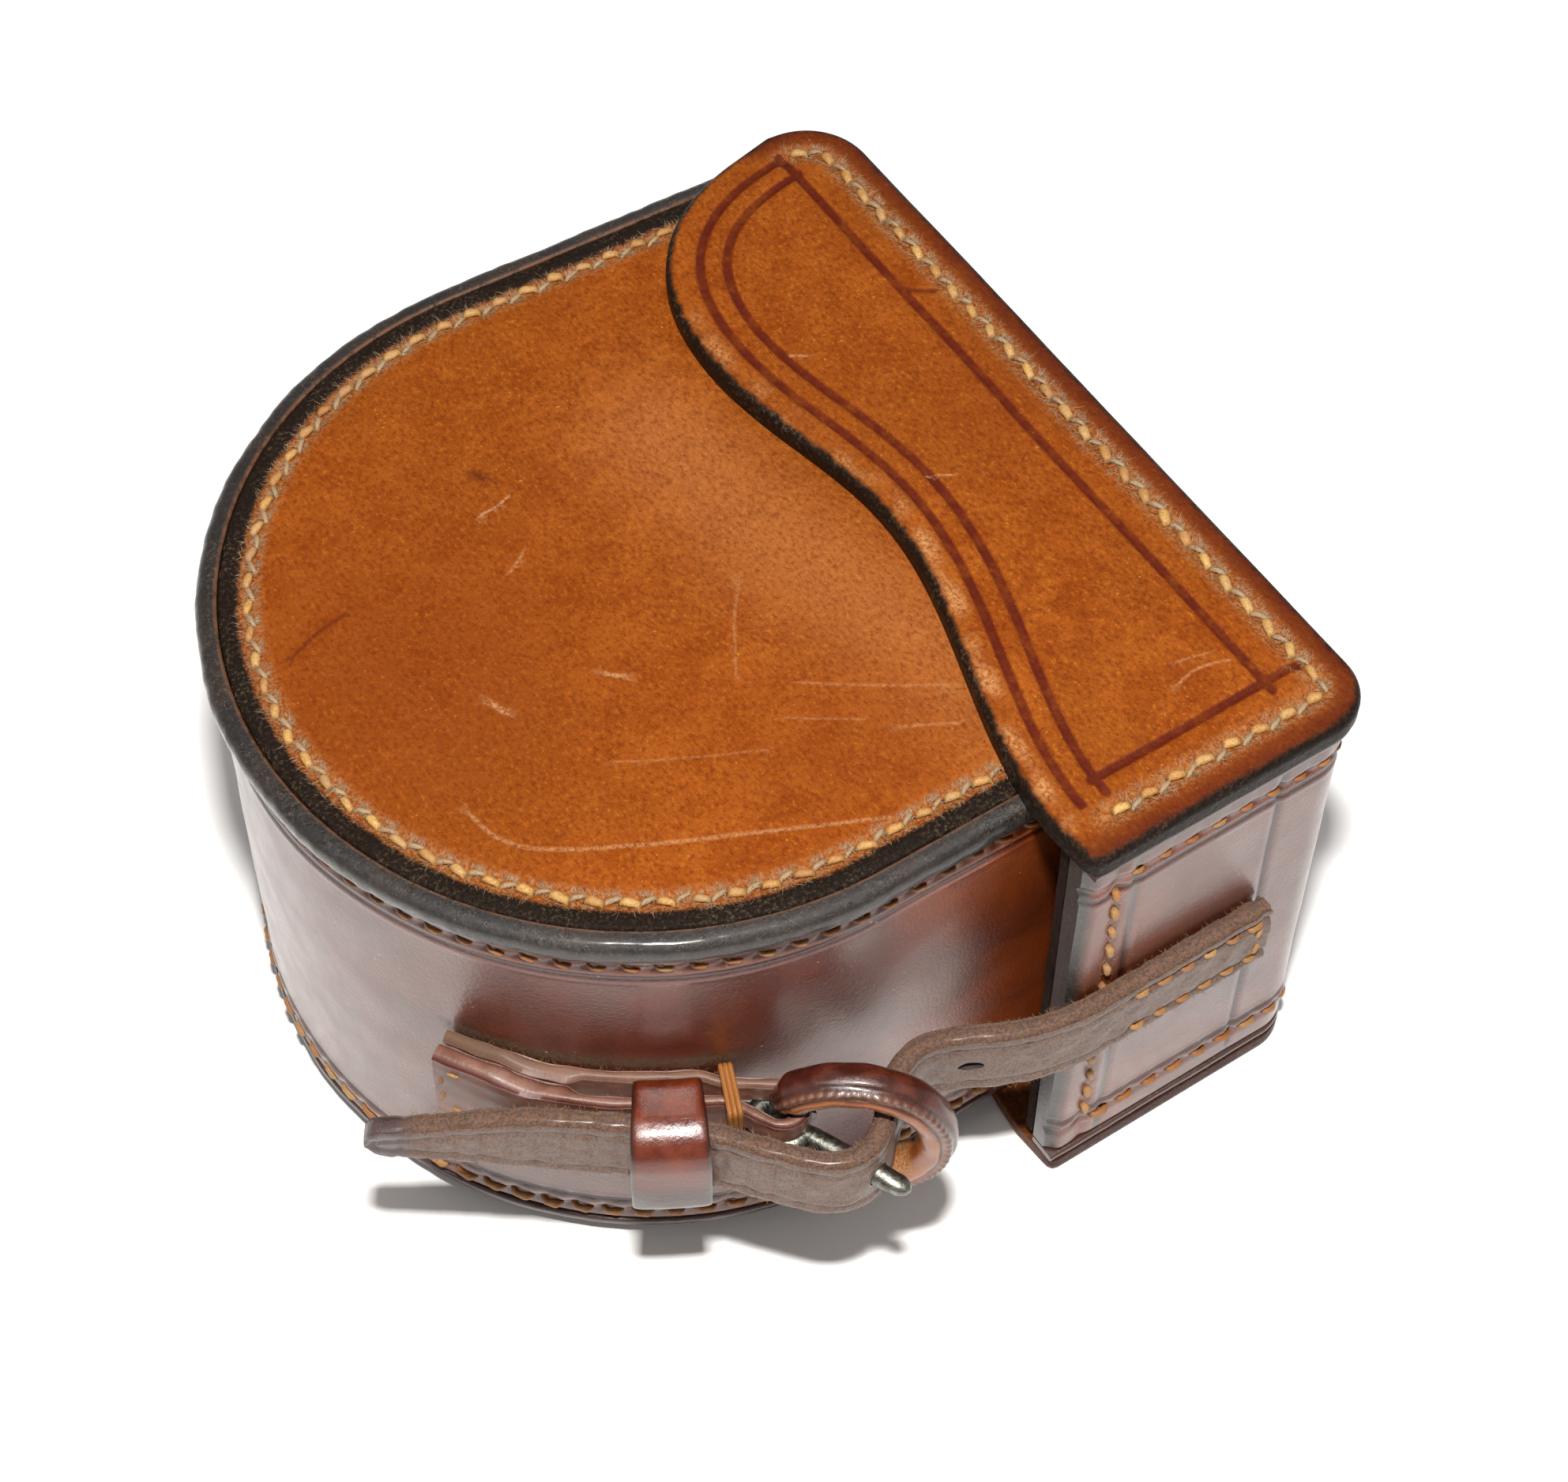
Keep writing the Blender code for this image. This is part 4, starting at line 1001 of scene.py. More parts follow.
def old_steel():
    """Dull steel with darker pits and a faint warm bloom."""
    shader = Shader("old_steel", Metallic=1.0)
    cloud = shader.noise(1.2, 4, 0.7)
    base = shader.mix(shader.span(cloud, 0.3, 0.7), srgb(128, 128, 117), srgb(182, 182, 170))
    rust = shader.span(shader.noise(0.9, 4, 0.7), 0.6, 0.72, 0.0, 0.8)
    shader.colour(shader.mix(rust, base, srgb(70, 50, 34)))
    shader.roughness(shader.span(shader.noise(0.5, 3, 0.7), 0.3, 0.7, 0.28, 0.52))
    shader.relief(shader.noise(0.35, 3, 0.7), 0.05)
    return shader.material


def make_materials():
    return {
        "panel": panel_leather(),
        "wall": wall_leather(),
        "bead": bead_leather(),
        "strap": strap_leather(),
        "keeper": polished_leather(
            "keeper_leather", srgb(98, 32, 10), srgb(136, 54, 16), srgb(58, 18, 10), 0.22,
            srgb(62, 36, 27), srgb(38, 21, 16), 0.08, 0.28),
        # Chape colours: partly the leather's own pinkish brown and partly painted light, lightened to
        # stand in for the flash and floor light that an upturned face would catch.
        "chape": polished_leather(
            "chape_leather", srgb(126, 78, 60), srgb(162, 112, 92), srgb(84, 16, 14), 0.4,
            srgb(140, 104, 76), srgb(84, 56, 38), 0.4, 0.12, 0.35),
        "ring": ring_leather(),
        "thread": thread(),
        "fuzz": fuzz("pale_fibre", srgb(232, 204, 170)),
        "brown_fuzz": fuzz("brown_fibre", srgb(150, 106, 66)),
        "cloth": lining_cloth(),
        "steel": old_steel(),
    }


# Body of the case

MARKS = (
    # (points, half width, strength): pale above zero, dark below
    ([(-33.0, -17.5), (-32.0, -22.0), (-28.5, -26.0), (-19.0, -31.5), (-7.5, -37.0), (4.0, -42.5)],
     0.22, 0.62),
    ([(-11.0, 17.0), (-9.0, 17.0), (-7.0, 17.5)], 0.14, 0.9),
    ([(-12.5, 8.0), (-10.0, 9.5)], 0.16, 0.6),
    ([(8.0, -7.5), (5.0, -11.0), (1.0, -17.5)], 0.16, 0.35),
    ([(-23.5, -6.5), (-23.0, -8.0)], 0.3, 0.8),
    ([(-11.0, -10.0), (-10.0, -11.0)], 0.22, 0.9),
    ([(-17.0, -20.0), (-11.0, -23.5), (-2.0, -28.0)], 0.14, 0.35),
    ([(6.0, -22.5), (12.0, -27.0), (19.0, -31.5)], 0.16, 0.4),
    ([(2.0, -25.5), (9.0, -30.5)], 0.13, 0.35),
    ([(12.0, -33.5), (17.5, -36.5)], 0.18, 0.45),
    ([(-38.5, 11.0), (-34.5, 12.5), (-31.0, 13.0)], 0.22, -0.6),
    ([(-8.5, 22.5), (-8.0, 21.5)], 0.6, -0.7),
)
LID_MARKS = (
    ([(39.0, -47.0), (42.0, -46.5), (45.5, -47.5)], 0.16, 0.6),
    ([(40.5, -44.5), (44.5, -45.5)], 0.13, 0.45),
    ([(47.5, 16.5), (50.0, 14.5)], 0.3, -0.8),
    ([(33.0, -8.0), (35.5, -9.5)], 0.14, 0.7),
    ([(30.0, 15.5), (31.5, 14.5)], 0.16, 0.8),
)
MARK_OFFSETS = (-0.9, -0.45, 0.0, 0.45, 0.9)
SEAM_OFFSETS = (-1.5, -0.95, -0.5, 0.0, 0.5, 0.95, 1.5)
CREASE_OFFSETS = (-1.1, -0.7, -0.4, -0.15, 0.15, 0.4, 0.7, 1.1)


def mark_lines(marks):
    return [(catmull(line), [k * width * 2 for k in MARK_OFFSETS], 0.45)
            for line, width, _ in marks]


def mark_field(marks):
    def field(plan):
        total = np.zeros(len(plan))
        for line, width, strength in marks:
            value = np.clip(1.5 - distance_to(plan, catmull(line)) / width, 0, 1) * strength
            total = np.where(np.abs(value) > np.abs(total), value, total)
        return total
    return field


def seam_relief(plan, path):
    """Shallow channel with a pit at each stitch hole."""
    distance = distance_to(plan, path.points)
    nearest = np.zeros(len(plan))
    close = np.where(distance < FAR)[0]
    for index in close:
        nearest[index] = path.along[np.argmin(np.sum((path.points - plan[index]) ** 2, axis=1))]
    phase = np.cos(2 * math.pi * nearest / STITCH_PITCH)
    channel = -0.34 * bump(distance, 1.15) + 0.10 * bump(distance - 1.5, 0.7)
    return channel - 0.3 * bump(distance, 0.6) * smooth(phase)


def body_panel(name, up, inset):
    outline = np.array(body_path(0))
    seam = Path(body_path(BODY_SEAM_INSET, BODY_SEAM_END_X), -1, 0.45)
    lines = [(seam.points, SEAM_OFFSETS, 0.5)]
    ring = [(body_path(4.9, BODY_MOUTH_X - 0.6), (-0.5, 0.0, 0.5), 0.8)]
    marks = MARKS if up else ()
    # Painted sheen: centres of a lighter patch on the top beside the flap, standing in for reflected
    # light.
    painted_sheen_centre = np.array([(12.0, 16.0), (15.0, -6.0), (22.0, -26.0), (24.0, -40.0)])

    def relief(plan):
        edge = distance_to(plan, outline)
        height = seam_relief(plan, seam)
        height += 0.16 * ripple(plan, 26.0, 3) * smooth((edge - 6) / 8)
        height += 0.05 * ripple(plan, 7.0, 4) - 0.10 * bump(edge - 4.8, 0.35)
        return height - 0.10 * np.maximum(mark_field(marks)(plan), 0)

    fields = {
        "edge": lambda plan: distance_to(plan, outline),
        "margin": lambda plan: distance_to(plan, outline) - 1.4,
        "seam": lambda plan: distance_to(plan, seam.points),
        "crease": FAR,
        "painted_sheen": lambda plan: 0.8 * bump(distance_to(plan, painted_sheen_centre), 9.0) * (1 if up else 0.3),
        "dull": lambda plan: 0.6 * bump(np.linalg.norm(plan - [-30.0, 2.0], axis=1), 24.0)
        + 0.35 * bump(np.linalg.norm(plan - [6.0, -34.0], axis=1), 12.0),
        "worn": 0.0,
        "mark": mark_field(marks),
        "ink": 4.5,
    }
    z_low, z_high = extent(name, "z")
    plate(name, body_path(inset), z_low, z_high, 0.5, lines + ring + mark_lines(marks), relief,
          fields, MATERIALS["panel"], "case", "tan_leather", (name,), up=up)
    panel_seam(name.replace("_panel", ""), "case", seam, 0.6, z_high if up else z_low,
               (11, 92) if up else (12, 91), (34, 1.2, 1.2, 21) if up else None, tint=0.55)


def bead(name, body, low_a, high_a, bulge, path, top_line=False, amount=0.1):
    """Rounded edge bead; edge is the distance from the line where it meets its panel."""
    low_b, high_b = extent(name, "z")
    section = [(low_a + 0.2, high_b), (low_a, high_b - 0.2), (low_a, low_b + 0.2), (low_a + 0.2, low_b)]
    for first, centre in ((-90.0, low_b + bulge), (0.0, high_b - bulge)):
        for angle in np.radians(np.linspace(first, first + 90.0, 9)):
            section.append((high_a - bulge + bulge * math.cos(angle), centre + bulge * math.sin(angle)))
    section = np.array(section)

    def relief(along, z):
        spots = np.column_stack([along, z])
        return amount * ripple(spots, 14.0, 31) + 0.4 * amount * ripple(spots, 3.0, 32)

    face = smooth((section[:, 0] - low_a) / 1.2)
    points, faces, _, _ = sweep_mesh(path, section, relief, face)
    edge = FAR
    if top_line:
        edge = np.where(section[:, 1] > high_b - 0.6, section[:, 0] - low_a, FAR)
        edge = np.tile(edge, len(path.points))
    build(name, points, faces, MATERIALS["bead" if top_line else "wall"], body, "burnished_edge",
          (name,), edge=edge, crease=FAR, seam=FAR, flank=0.6)


def wall_relief(along, z, rows, creases, seed, size):
    """Waviness, stitch channels and creases of a wall face."""
    spots = np.column_stack([along, z * 1.3])
    height = size * ripple(spots, 34.0, seed) + 0.35 * size * ripple(spots, 12.0, seed + 1)
    for row, bulge in rows:
        pits = smooth(np.cos(2 * math.pi * along / STITCH_PITCH))
        height -= 0.30 * bump(z - row, 0.8) + 0.35 * bump(z - row, 0.6) * pits
        height += bulge * (1 - pits) * bump(z - row - 1.3, 1.0)
    for crease in creases:
        height -= 0.26 * bump(crease, 0.42) - 0.05 * bump(np.abs(crease) - 0.9, 0.4)
    return height


def wall_section(low_a, high_a, low_b, high_b, dense, radius):
    """Wall section whose outer face has close rows near its seams and creases."""
    section = []
    rows = set(np.round(np.arange(low_b + radius, high_b - radius, 1.0), 3))
    for z in dense:
        rows |= set(np.round(z + np.arange(-1.6, 1.61, 0.2), 3))
    rows = sorted(z for z in rows if low_b + radius < z < high_b - radius)
    section += [(high_a, z) for z in rows]
    for angle in np.radians(np.linspace(0, 90, 5)):
        section.append((high_a - radius * (1 - math.cos(angle)),
                        high_b - radius * (1 - math.sin(angle))))
    section += [(low_a, high_b), (low_a, (low_b + high_b) / 2), (low_a, low_b)]
    for angle in np.radians(np.linspace(-90, 0, 5)):
        section.append((high_a - radius * (1 - math.cos(angle)),
                        low_b + radius * (1 + math.sin(angle))))
    section = np.array(section)
    return section, smooth((section[:, 0] - low_a) / (high_a - low_a) * 2 - 1)


def body_wall():
    path = Path(body_path(0), -1, 0.55)
    section, face = wall_section(
        -WALL_INSET - WALL_THICKNESS, -WALL_INSET, *extent("body_wall", "z"),
        (TOP_SEAM_Z, TOP_SEAM_Z - 2.0, LOW_SEAM_Z, LOW_SEAM_Z + 2.6), 0.5)

    def relief(along, z):
        creases = (z - (TOP_SEAM_Z - 1.9), z - (LOW_SEAM_Z + 2.7))
        return wall_relief(along, z, ((TOP_SEAM_Z, 0.12), (LOW_SEAM_Z, 0.2)), creases, 41, 0.09)

    points, faces, along, z = sweep_mesh(path, section, relief, face)
    plan = points[:, :2]
    angle = np.degrees(np.arctan2(plan[:, 1], plan[:, 0])) % 360
    chape_top = STRAP_Z + 5.6
    grime = bump(z - chape_top, 1.0) * smooth((angle - 208) / 4) * smooth((252 - angle) / 4)
    near_mouth = smooth((plan[:, 0] + 4) / 14) * smooth((plan[:, 1] + 30) / -10)
    warm = near_mouth * (0.5 + 0.5 * smooth((z - 40) / 14)) * 0.9
    flank = smooth((plan[:, 0] - BODY_MOUTH_X + 0.5) / 0.4)
    crease = np.minimum(np.abs(z - TOP_SEAM_Z + 1.9), np.abs(z - LOW_SEAM_Z - 2.7))
    seam = np.minimum(np.abs(z - TOP_SEAM_Z), np.abs(z - LOW_SEAM_Z))
    build("body_wall_leather", points, faces, MATERIALS["wall"], "case", "mahogany_leather",
          ("body_wall",), grime=grime, warm=warm, flank=flank, crease=crease, seam=seam)
    for name, z, *look in (
            ("body_wall_top", TOP_SEAM_Z, (13, 24), 2.5, 0.36, -0.05, 0.0),
            ("body_wall_bottom", LOW_SEAM_Z, (14, 25), 3.0, 0.58, 0.16, 0.2)):
        places = seam_places(path, 4.4, path.length - 4.4, z, out=-WALL_INSET)
        wall_seam(name, "case", places, *look)


def build_body():
    path = Path(body_path(0), -1, 0.6)
    inner = -WALL_INSET - WALL_THICKNESS
    body_panel("body_top_panel", True, WELT_WIDTH + 0.08)
    body_panel("body_bottom_panel", False, GAP - inner)
    bead("body_top_welt", "case", -WELT_WIDTH, 0.0, 1.6, path, top_line=True)
    bead("body_bottom_welt", "case", inner, -1.1, 0.5, path, amount=0.04)
    body_wall()


# Lid

def lid_panel(name, up):
    loop = counter_clockwise(lid_path(0, 21.2, 47.6) + flap_edge()[3:])
    loop = loop if up else inset_loop(loop, LID_BOTTOM_INSET)
    outline = np.vstack([loop, loop[:1]])
    flap = Path(flap_edge()[:-3], 1, 0.6)
    seam = Path(lid_path(LID_SEAM_INSET, 21.7, 47.0), 1, 0.45)
    outer = np.array(lid_path(0, 17.2, 46.0))
    crease_lines = []
    for offset in FLAP_CREASES:
        for sign in (1, -1):
            line = flap.points + sign * offset * flap.out
            if line[:, 0].mean() > flap.points[:, 0].mean():
                reach = distance_to(line, outer)
                crease_lines.append(line[(reach > 3.4) & (distance_to(line, flap.points) > offset - 0.15)])
    crease_lines.append(np.array([(END_CREASE_X, -53.4), (END_CREASE_X, 43.2)]))
    crease_lines.append(np.array([(23.4, NEAR_CREASE_Y), (51.4, NEAR_CREASE_Y)]))
    marks = LID_MARKS if up else ()
    lines = [(seam.points, SEAM_OFFSETS, 0.5)]
    lines += [(line, CREASE_OFFSETS, 0.6) for line in crease_lines]

    def crease_distance(plan):
        return np.minimum.reduce([distance_to(plan, line) for line in crease_lines])

    def relief(plan):
        crease = crease_distance(plan)
        height = seam_relief(plan, seam) - 0.22 * bump(crease, 0.5)
        height += 0.05 * bump(crease - 1.0, 0.4) + 0.12 * ripple(plan, 30.0, 51)
        return height + 0.04 * ripple(plan, 8.0, 52)

    def worn(plan):
        near = bump(distance_to(plan, flap.points) - 1.7, 1.0)
        return near * smooth((plan[:, 1] + 60) / 8) * smooth((30 - plan[:, 1]) / 8) * (
            0.4 + 0.7 * np.clip(ripple(plan, 6.0, 53), -0.5, 1)) * (1 if up else 0.5)

    fields = {
        "edge": lambda plan: distance_to(plan, outline),
        "margin": lambda plan: distance_to(plan, outer),
        "seam": lambda plan: distance_to(plan, seam.points),
        "crease": crease_distance,
        "painted_sheen": 0.0,
        "dull": lambda plan: 0.3 * bump(np.linalg.norm(plan - [52.0, -5.0], axis=1), 16.0),
        "worn": worn,
        "mark": mark_field(marks),
        "ink": 0.35 if up else -1.5,
    }
    z_low, z_high = extent(name, "z")
    plate(name, loop, z_low, z_high, 1.1, lines + mark_lines(marks), relief, fields,
          MATERIALS["panel"], "lid", "tan_leather", (name,), up=up, rim_ink=1.0 if up else 0.65)
    panel_seam(name.replace("_panel", ""), "lid", seam, 0.4, z_high if up else z_low,
               (15, 94) if up else (16, 93), (44, 1.3, 1.5, 27) if up else None,
               tint=0.7, radius=0.58)


def lid_wall():
    path = Path(lid_path(0), 1, 0.55)
    section, face = wall_section(
        -LID_WALL_INSET - LID_WALL_THICKNESS, -LID_WALL_INSET, *extent("lid_wall", "z"),
        (LID_TOP_SEAM_Z, LID_TOP_SEAM_Z - 2.0, LID_LOW_SEAM_Z, LID_LOW_SEAM_Z + 2.2), 0.6)
    near = path.points[:, 1] < -LID_NEAR_Y + 3.0
    near_along = path.along[near]
    near_x = path.points[near, 0]
    columns = [np.interp(x, near_x, near_along) for x in WALL_CREASE_X]
    seam_column = np.interp(MOUTH_SEAM_X, near_x, near_along)
    rows = (LID_TOP_SEAM_Z - 1.7, LID_LOW_SEAM_Z + 2.2)

    def relief(along, z):
        tall = smooth((z - 2) / 2) * smooth((61 - z) / 2)
        creases = [np.where(tall > 0.5, along - column, 9.0) for column in columns]
        creases += [z - row for row in rows]
        height = wall_relief(
            along, z, ((LID_TOP_SEAM_Z, 0.08), (LID_LOW_SEAM_Z, 0.14)), creases, 61, 0.06)
        pits = smooth(np.cos(2 * math.pi * z / STITCH_PITCH))
        height -= (0.25 + 0.3 * pits) * bump(along - seam_column, 0.8)
        return height - 1.3 * smooth((1.9 - along) / 1.9) ** 2

    points, faces, along, z = sweep_mesh(path, section, relief, face)
    crease = np.minimum.reduce(
        [np.abs(along - column) for column in columns] + [np.abs(z - row) for row in rows])
    seam = np.minimum(np.minimum(np.abs(z - LID_TOP_SEAM_Z), np.abs(z - LID_LOW_SEAM_Z)),
                      np.abs(along - seam_column))
    corner = smooth((along - 36) / 6) * smooth((60 - along) / 6)
    warm = 0.25 * bump(along - 8, 10) + 0.1 * corner
    flank = smooth((1.5 - along) / 0.9) + smooth((along - path.length + 0.5) / 0.4)
    strap_shade = bump(z - STRAP_Z - 6.4, 0.7) * smooth(
        (STRAP_SEWN_X - LID_WALL_MOUTH_X - along) / 2)
    build("lid_wall_leather", points, faces, MATERIALS["wall"], "lid", "mahogany_leather",
          ("lid_wall",), grime=0.4 * strap_shade, warm=warm, flank=flank, crease=crease, seam=seam)
    for name, z, *look in (
            ("lid_wall_top", LID_TOP_SEAM_Z, (17, 34), 2.4, 0.36, -0.05, 0.0),
            ("lid_wall_bottom", LID_LOW_SEAM_Z, (18, 35), 2.9, 0.52, 0.12, 0.1)):
        places = seam_places(path, seam_column + 0.6, path.length - 2.0, z, out=-LID_WALL_INSET)
        wall_seam(name, "lid", places, *look)
    count = int(round((LID_TOP_SEAM_Z - LID_LOW_SEAM_Z - 1.5) / STITCH_PITCH))
    heights = LID_LOW_SEAM_Z + 1.2 + (np.arange(count) + 0.5) * (
        LID_TOP_SEAM_Z - LID_LOW_SEAM_Z - 1.8) / count
    centre = np.column_stack([
        np.full(count, MOUTH_SEAM_X), np.full(count, -LID_NEAR_Y + LID_WALL_INSET), heights])
    places = (centre, np.tile([0.0, 0.0, 1.0], (count, 1)), np.tile([0.0, -1.0, 0.0], (count, 1)))
    stitches("lid_mouth_stitches", places, "lid", "lid_mouth_thread", length=2.7, radius=0.5,
             slant=-12.0, lift=0.08, seed=19, tint=0.4)
    fibres("lid_mouth_fibres", places, "lid", 6, 0.8, 0.9, 36)


def build_lid():
    lid_panel("lid_top_panel", True)
    lid_panel("lid_bottom_panel", False)
    inner = -LID_WALL_INSET - LID_WALL_THICKNESS
    path = Path(lid_path(0, LID_WALL_MOUTH_X, 46.8), 1, 0.6)
    for name, edge in (("lid_top_welt", -0.25), ("lid_bottom_welt", -LID_BOTTOM_INSET)):
        bead(name, "lid", inner, edge, 0.45, path, amount=0.03)
    lid_wall()


def build_hinge():
    """Strip sewn over both far walls, creased where it crosses from one body to the other."""
    half = HINGE_HALF_THICKNESS
    body_side = np.array(body_path(WALL_INSET - GAP - half)[-2:])
    back = (body_side[0] - body_side[1]) / np.linalg.norm(body_side[0] - body_side[1])
    lid_side = np.array(lid_path(LID_WALL_INSET - GAP - half))[::-1]
    travelled = np.cumsum(np.linalg.norm(np.diff(lid_side, axis=0), axis=1))
    count = int(np.argmax(travelled > HINGE_REACH)) + 2
    line = np.vstack([[body_side[1] + back * HINGE_REACH], [body_side[1]], lid_side[:count]])
    path = Path(line, -1, 0.5)
    low, high = extent("hinge_leather", "z")
    section = rounded_section(-half, half, low, high, 0.3, 1.2, 3)
    fold = HINGE_REACH + 0.4

    def relief(along, z):
        spots = np.column_stack([along, z])
        return 0.05 * ripple(spots, 8.0, 71) - 0.25 * bump(along - fold, 1.6)

    points, faces, along, z = sweep_mesh(path, section, relief, np.ones(len(section)))
    ends = np.minimum.reduce([along, path.length - along, z - low, high - z])
    piece = build(
        "hinge_leather_strip", points, faces, MATERIALS["wall"], None, "mahogany_leather",
        ("hinge_leather",), grime=0.0, warm=0.3, flank=smooth((0.5 - ends) / 0.4),
        crease=np.minimum(np.abs(along - fold), FAR), seam=FAR)
    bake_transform(piece)
    count = int((high - low - 6) / STITCH_PITCH)
    heights = low + 3 + (np.arange(count) + 0.5) * (high - low - 6) / count
    for body, at in (("case", 1.6), ("lid", path.length - 1.6)):
        point, _, normal = path.at(np.array([at]))
        centre = np.column_stack([np.tile(point + normal * half, (count, 1)), heights])
        up = np.tile(np.append(normal[0], 0.0), (count, 1))
        stitches("hinge_" + body + "_stitches", (centre, np.tile([0.0, 0.0, 1.0], (count, 1)), up),
                 body, None, length=2.6, radius=0.42, slant=10.0, lift=0.05, seed=20, tint=0.3)


# Strap and buckle

def ribbon(path, thickness, half_width, name, material, body, slot, replaces, relief, fields,
           columns=(7, 34)):
    """Strip on edge with softly rounded rims; a runs across it and b along its width."""
    thin, wide = columns
    b = np.concatenate([
        np.linspace(-1, 1, wide), np.linspace(1, 1, thin)[1:-1], np.linspace(1, -1, wide),
        np.linspace(-1, -1, thin)[1:-1]])
    a = np.concatenate([
        np.ones(wide), np.linspace(1, -1, thin)[1:-1], -np.ones(wide),
        np.linspace(-1, 1, thin)[1:-1]])
    rows, count = len(path.points), len(a)
    a, b = np.tile(a, rows), np.tile(b, rows)
    along = np.repeat(path.along, count)
    width = np.repeat(half_width, count)
    rim = np.clip((np.abs(b) * width - width + 0.7) / 0.7, 0, 1)
    depth = thickness / 2 * (1 - 0.24 * rim ** 2)
    swell = 1 - 0.10 * np.clip((np.abs(a) - 0.4) / 0.6, 0, 1) ** 2 * (np.abs(b) > 0.999)
    offset = a * (depth + relief(along, a, b, width))
    z = b * width * swell + 0.03 * ripple(np.column_stack([along, a]), 3.0, 81) * (np.abs(b) > 0.999)
    plan = np.repeat(path.points, count, axis=0) + offset[:, None] * np.repeat(path.out, count, axis=0)
    points = np.column_stack([plan, STRAP_Z + z])
    values = {key: field(along, a, b, width) for key, field in fields.items()}
    return build(name, points, tube_faces(rows, count), material, body, slot, replaces, sharp=50,
                 **values)


def build_strap():
    path = Path(catmull(strap_path()), 1, 0.5)
    left = path.length - path.along
    half = STRAP_TIP_HALF_WIDTH + (STRAP_HALF_WIDTH - STRAP_TIP_HALF_WIDTH) * smooth(left / 22.0)
    half = half * np.sqrt(np.clip(1 - (1 - left / 2.4).clip(0) ** 2.4, 0.12, 1))

    def crease(along, a, b, width):
        row = np.minimum(np.abs(width - b * width - 1.9), np.abs(width + b * width - 1.7))
        end = np.abs(along - 0.9)
        return np.where(np.abs(a) > 0.9, np.minimum(row, end), FAR)

    def wrinkles(along, b):
        return smooth((along - 60) / 12) * np.maximum(np.sin(along * 2.1 + b * 0.9), 0.0) ** 6

    def relief(along, a, b, width):
        spots = np.column_stack([along, b * width])
        height = -0.24 * bump(crease(along, a, b, width), 0.35)
        height += 0.07 * ripple(spots, 4.0, 82) + 0.04 * ripple(spots, 1.4, 83)
        height -= 0.16 * wrinkles(along, b)
        sewn = smooth((20.6 - along) / 1.0)
        return height - 0.22 * sewn * bump(np.abs(b * width) - STRAP_SEAM_ROW, 0.55)

    fields = {
        "crease": crease,
        "crack": lambda along, a, b, width: np.clip(
            wrinkles(along, b) + 0.5 * bump(along - 22, 2.5), 0, 1),
        "suede": lambda along, a, b, width: np.clip(
            smooth((np.abs(b) - 0.96) / 0.04) + smooth((-a - 0.5) / 0.3), 0, 1)
        * smooth((path.length - along - 2) / 4),
        "tip": lambda along, a, b, width: 0.85 * smooth((along - path.length + 7) / 5),
    }
    piece = ribbon(path, STRAP_THICKNESS, half, "strap_leather_strip", MATERIALS["strap"], "lid",
                   "strap_leather", ("strap",), relief, fields)
    axis, along = ring_axis(), prong_direction()
    cut(piece, [
        drill(axis + along * 4.4, axis + along * 17.0, (1.5, 1.5)),
        drill(np.array([7.6, -50.0]), np.array([2.8, -68.0]), (1.5, 0.8))])
    face_y = -(LID_NEAR_Y - LID_WALL_INSET + GAP + STRAP_THICKNESS)
    centre = [
        (x, face_y, STRAP_Z + row) for row in (STRAP_SEAM_ROW, -STRAP_SEAM_ROW)
        for x in np.arange(25.6, 42.0, STITCH_PITCH * 0.86)]
    tangent = [(1.0, 0.0, 0.0)] * len(centre)
    centre += [(42.4, face_y, STRAP_Z + z) for z in (-1.6, 1.6)]
    tangent += [(0.0, 0.0, 1.0)] * 2
    up = np.tile([0.0, -1.0, 0.0], (len(centre), 1))
    stitches("strap_stitches", (np.array(centre), np.array(tangent), up), "lid", "strap_thread",
             length=2.4, radius=0.4, slant=8.0, lift=0.02, seed=22, tint=0.3)
    for name, sign in (("strap_top_fibres", 1), ("strap_low_fibres", -1)):
        rim_fibres(name, path, half, slice(4, -10, 2), sign, "lid", "strap_leather",
                   12, 1.2, 0.8, 41 + sign, radius=0.03)


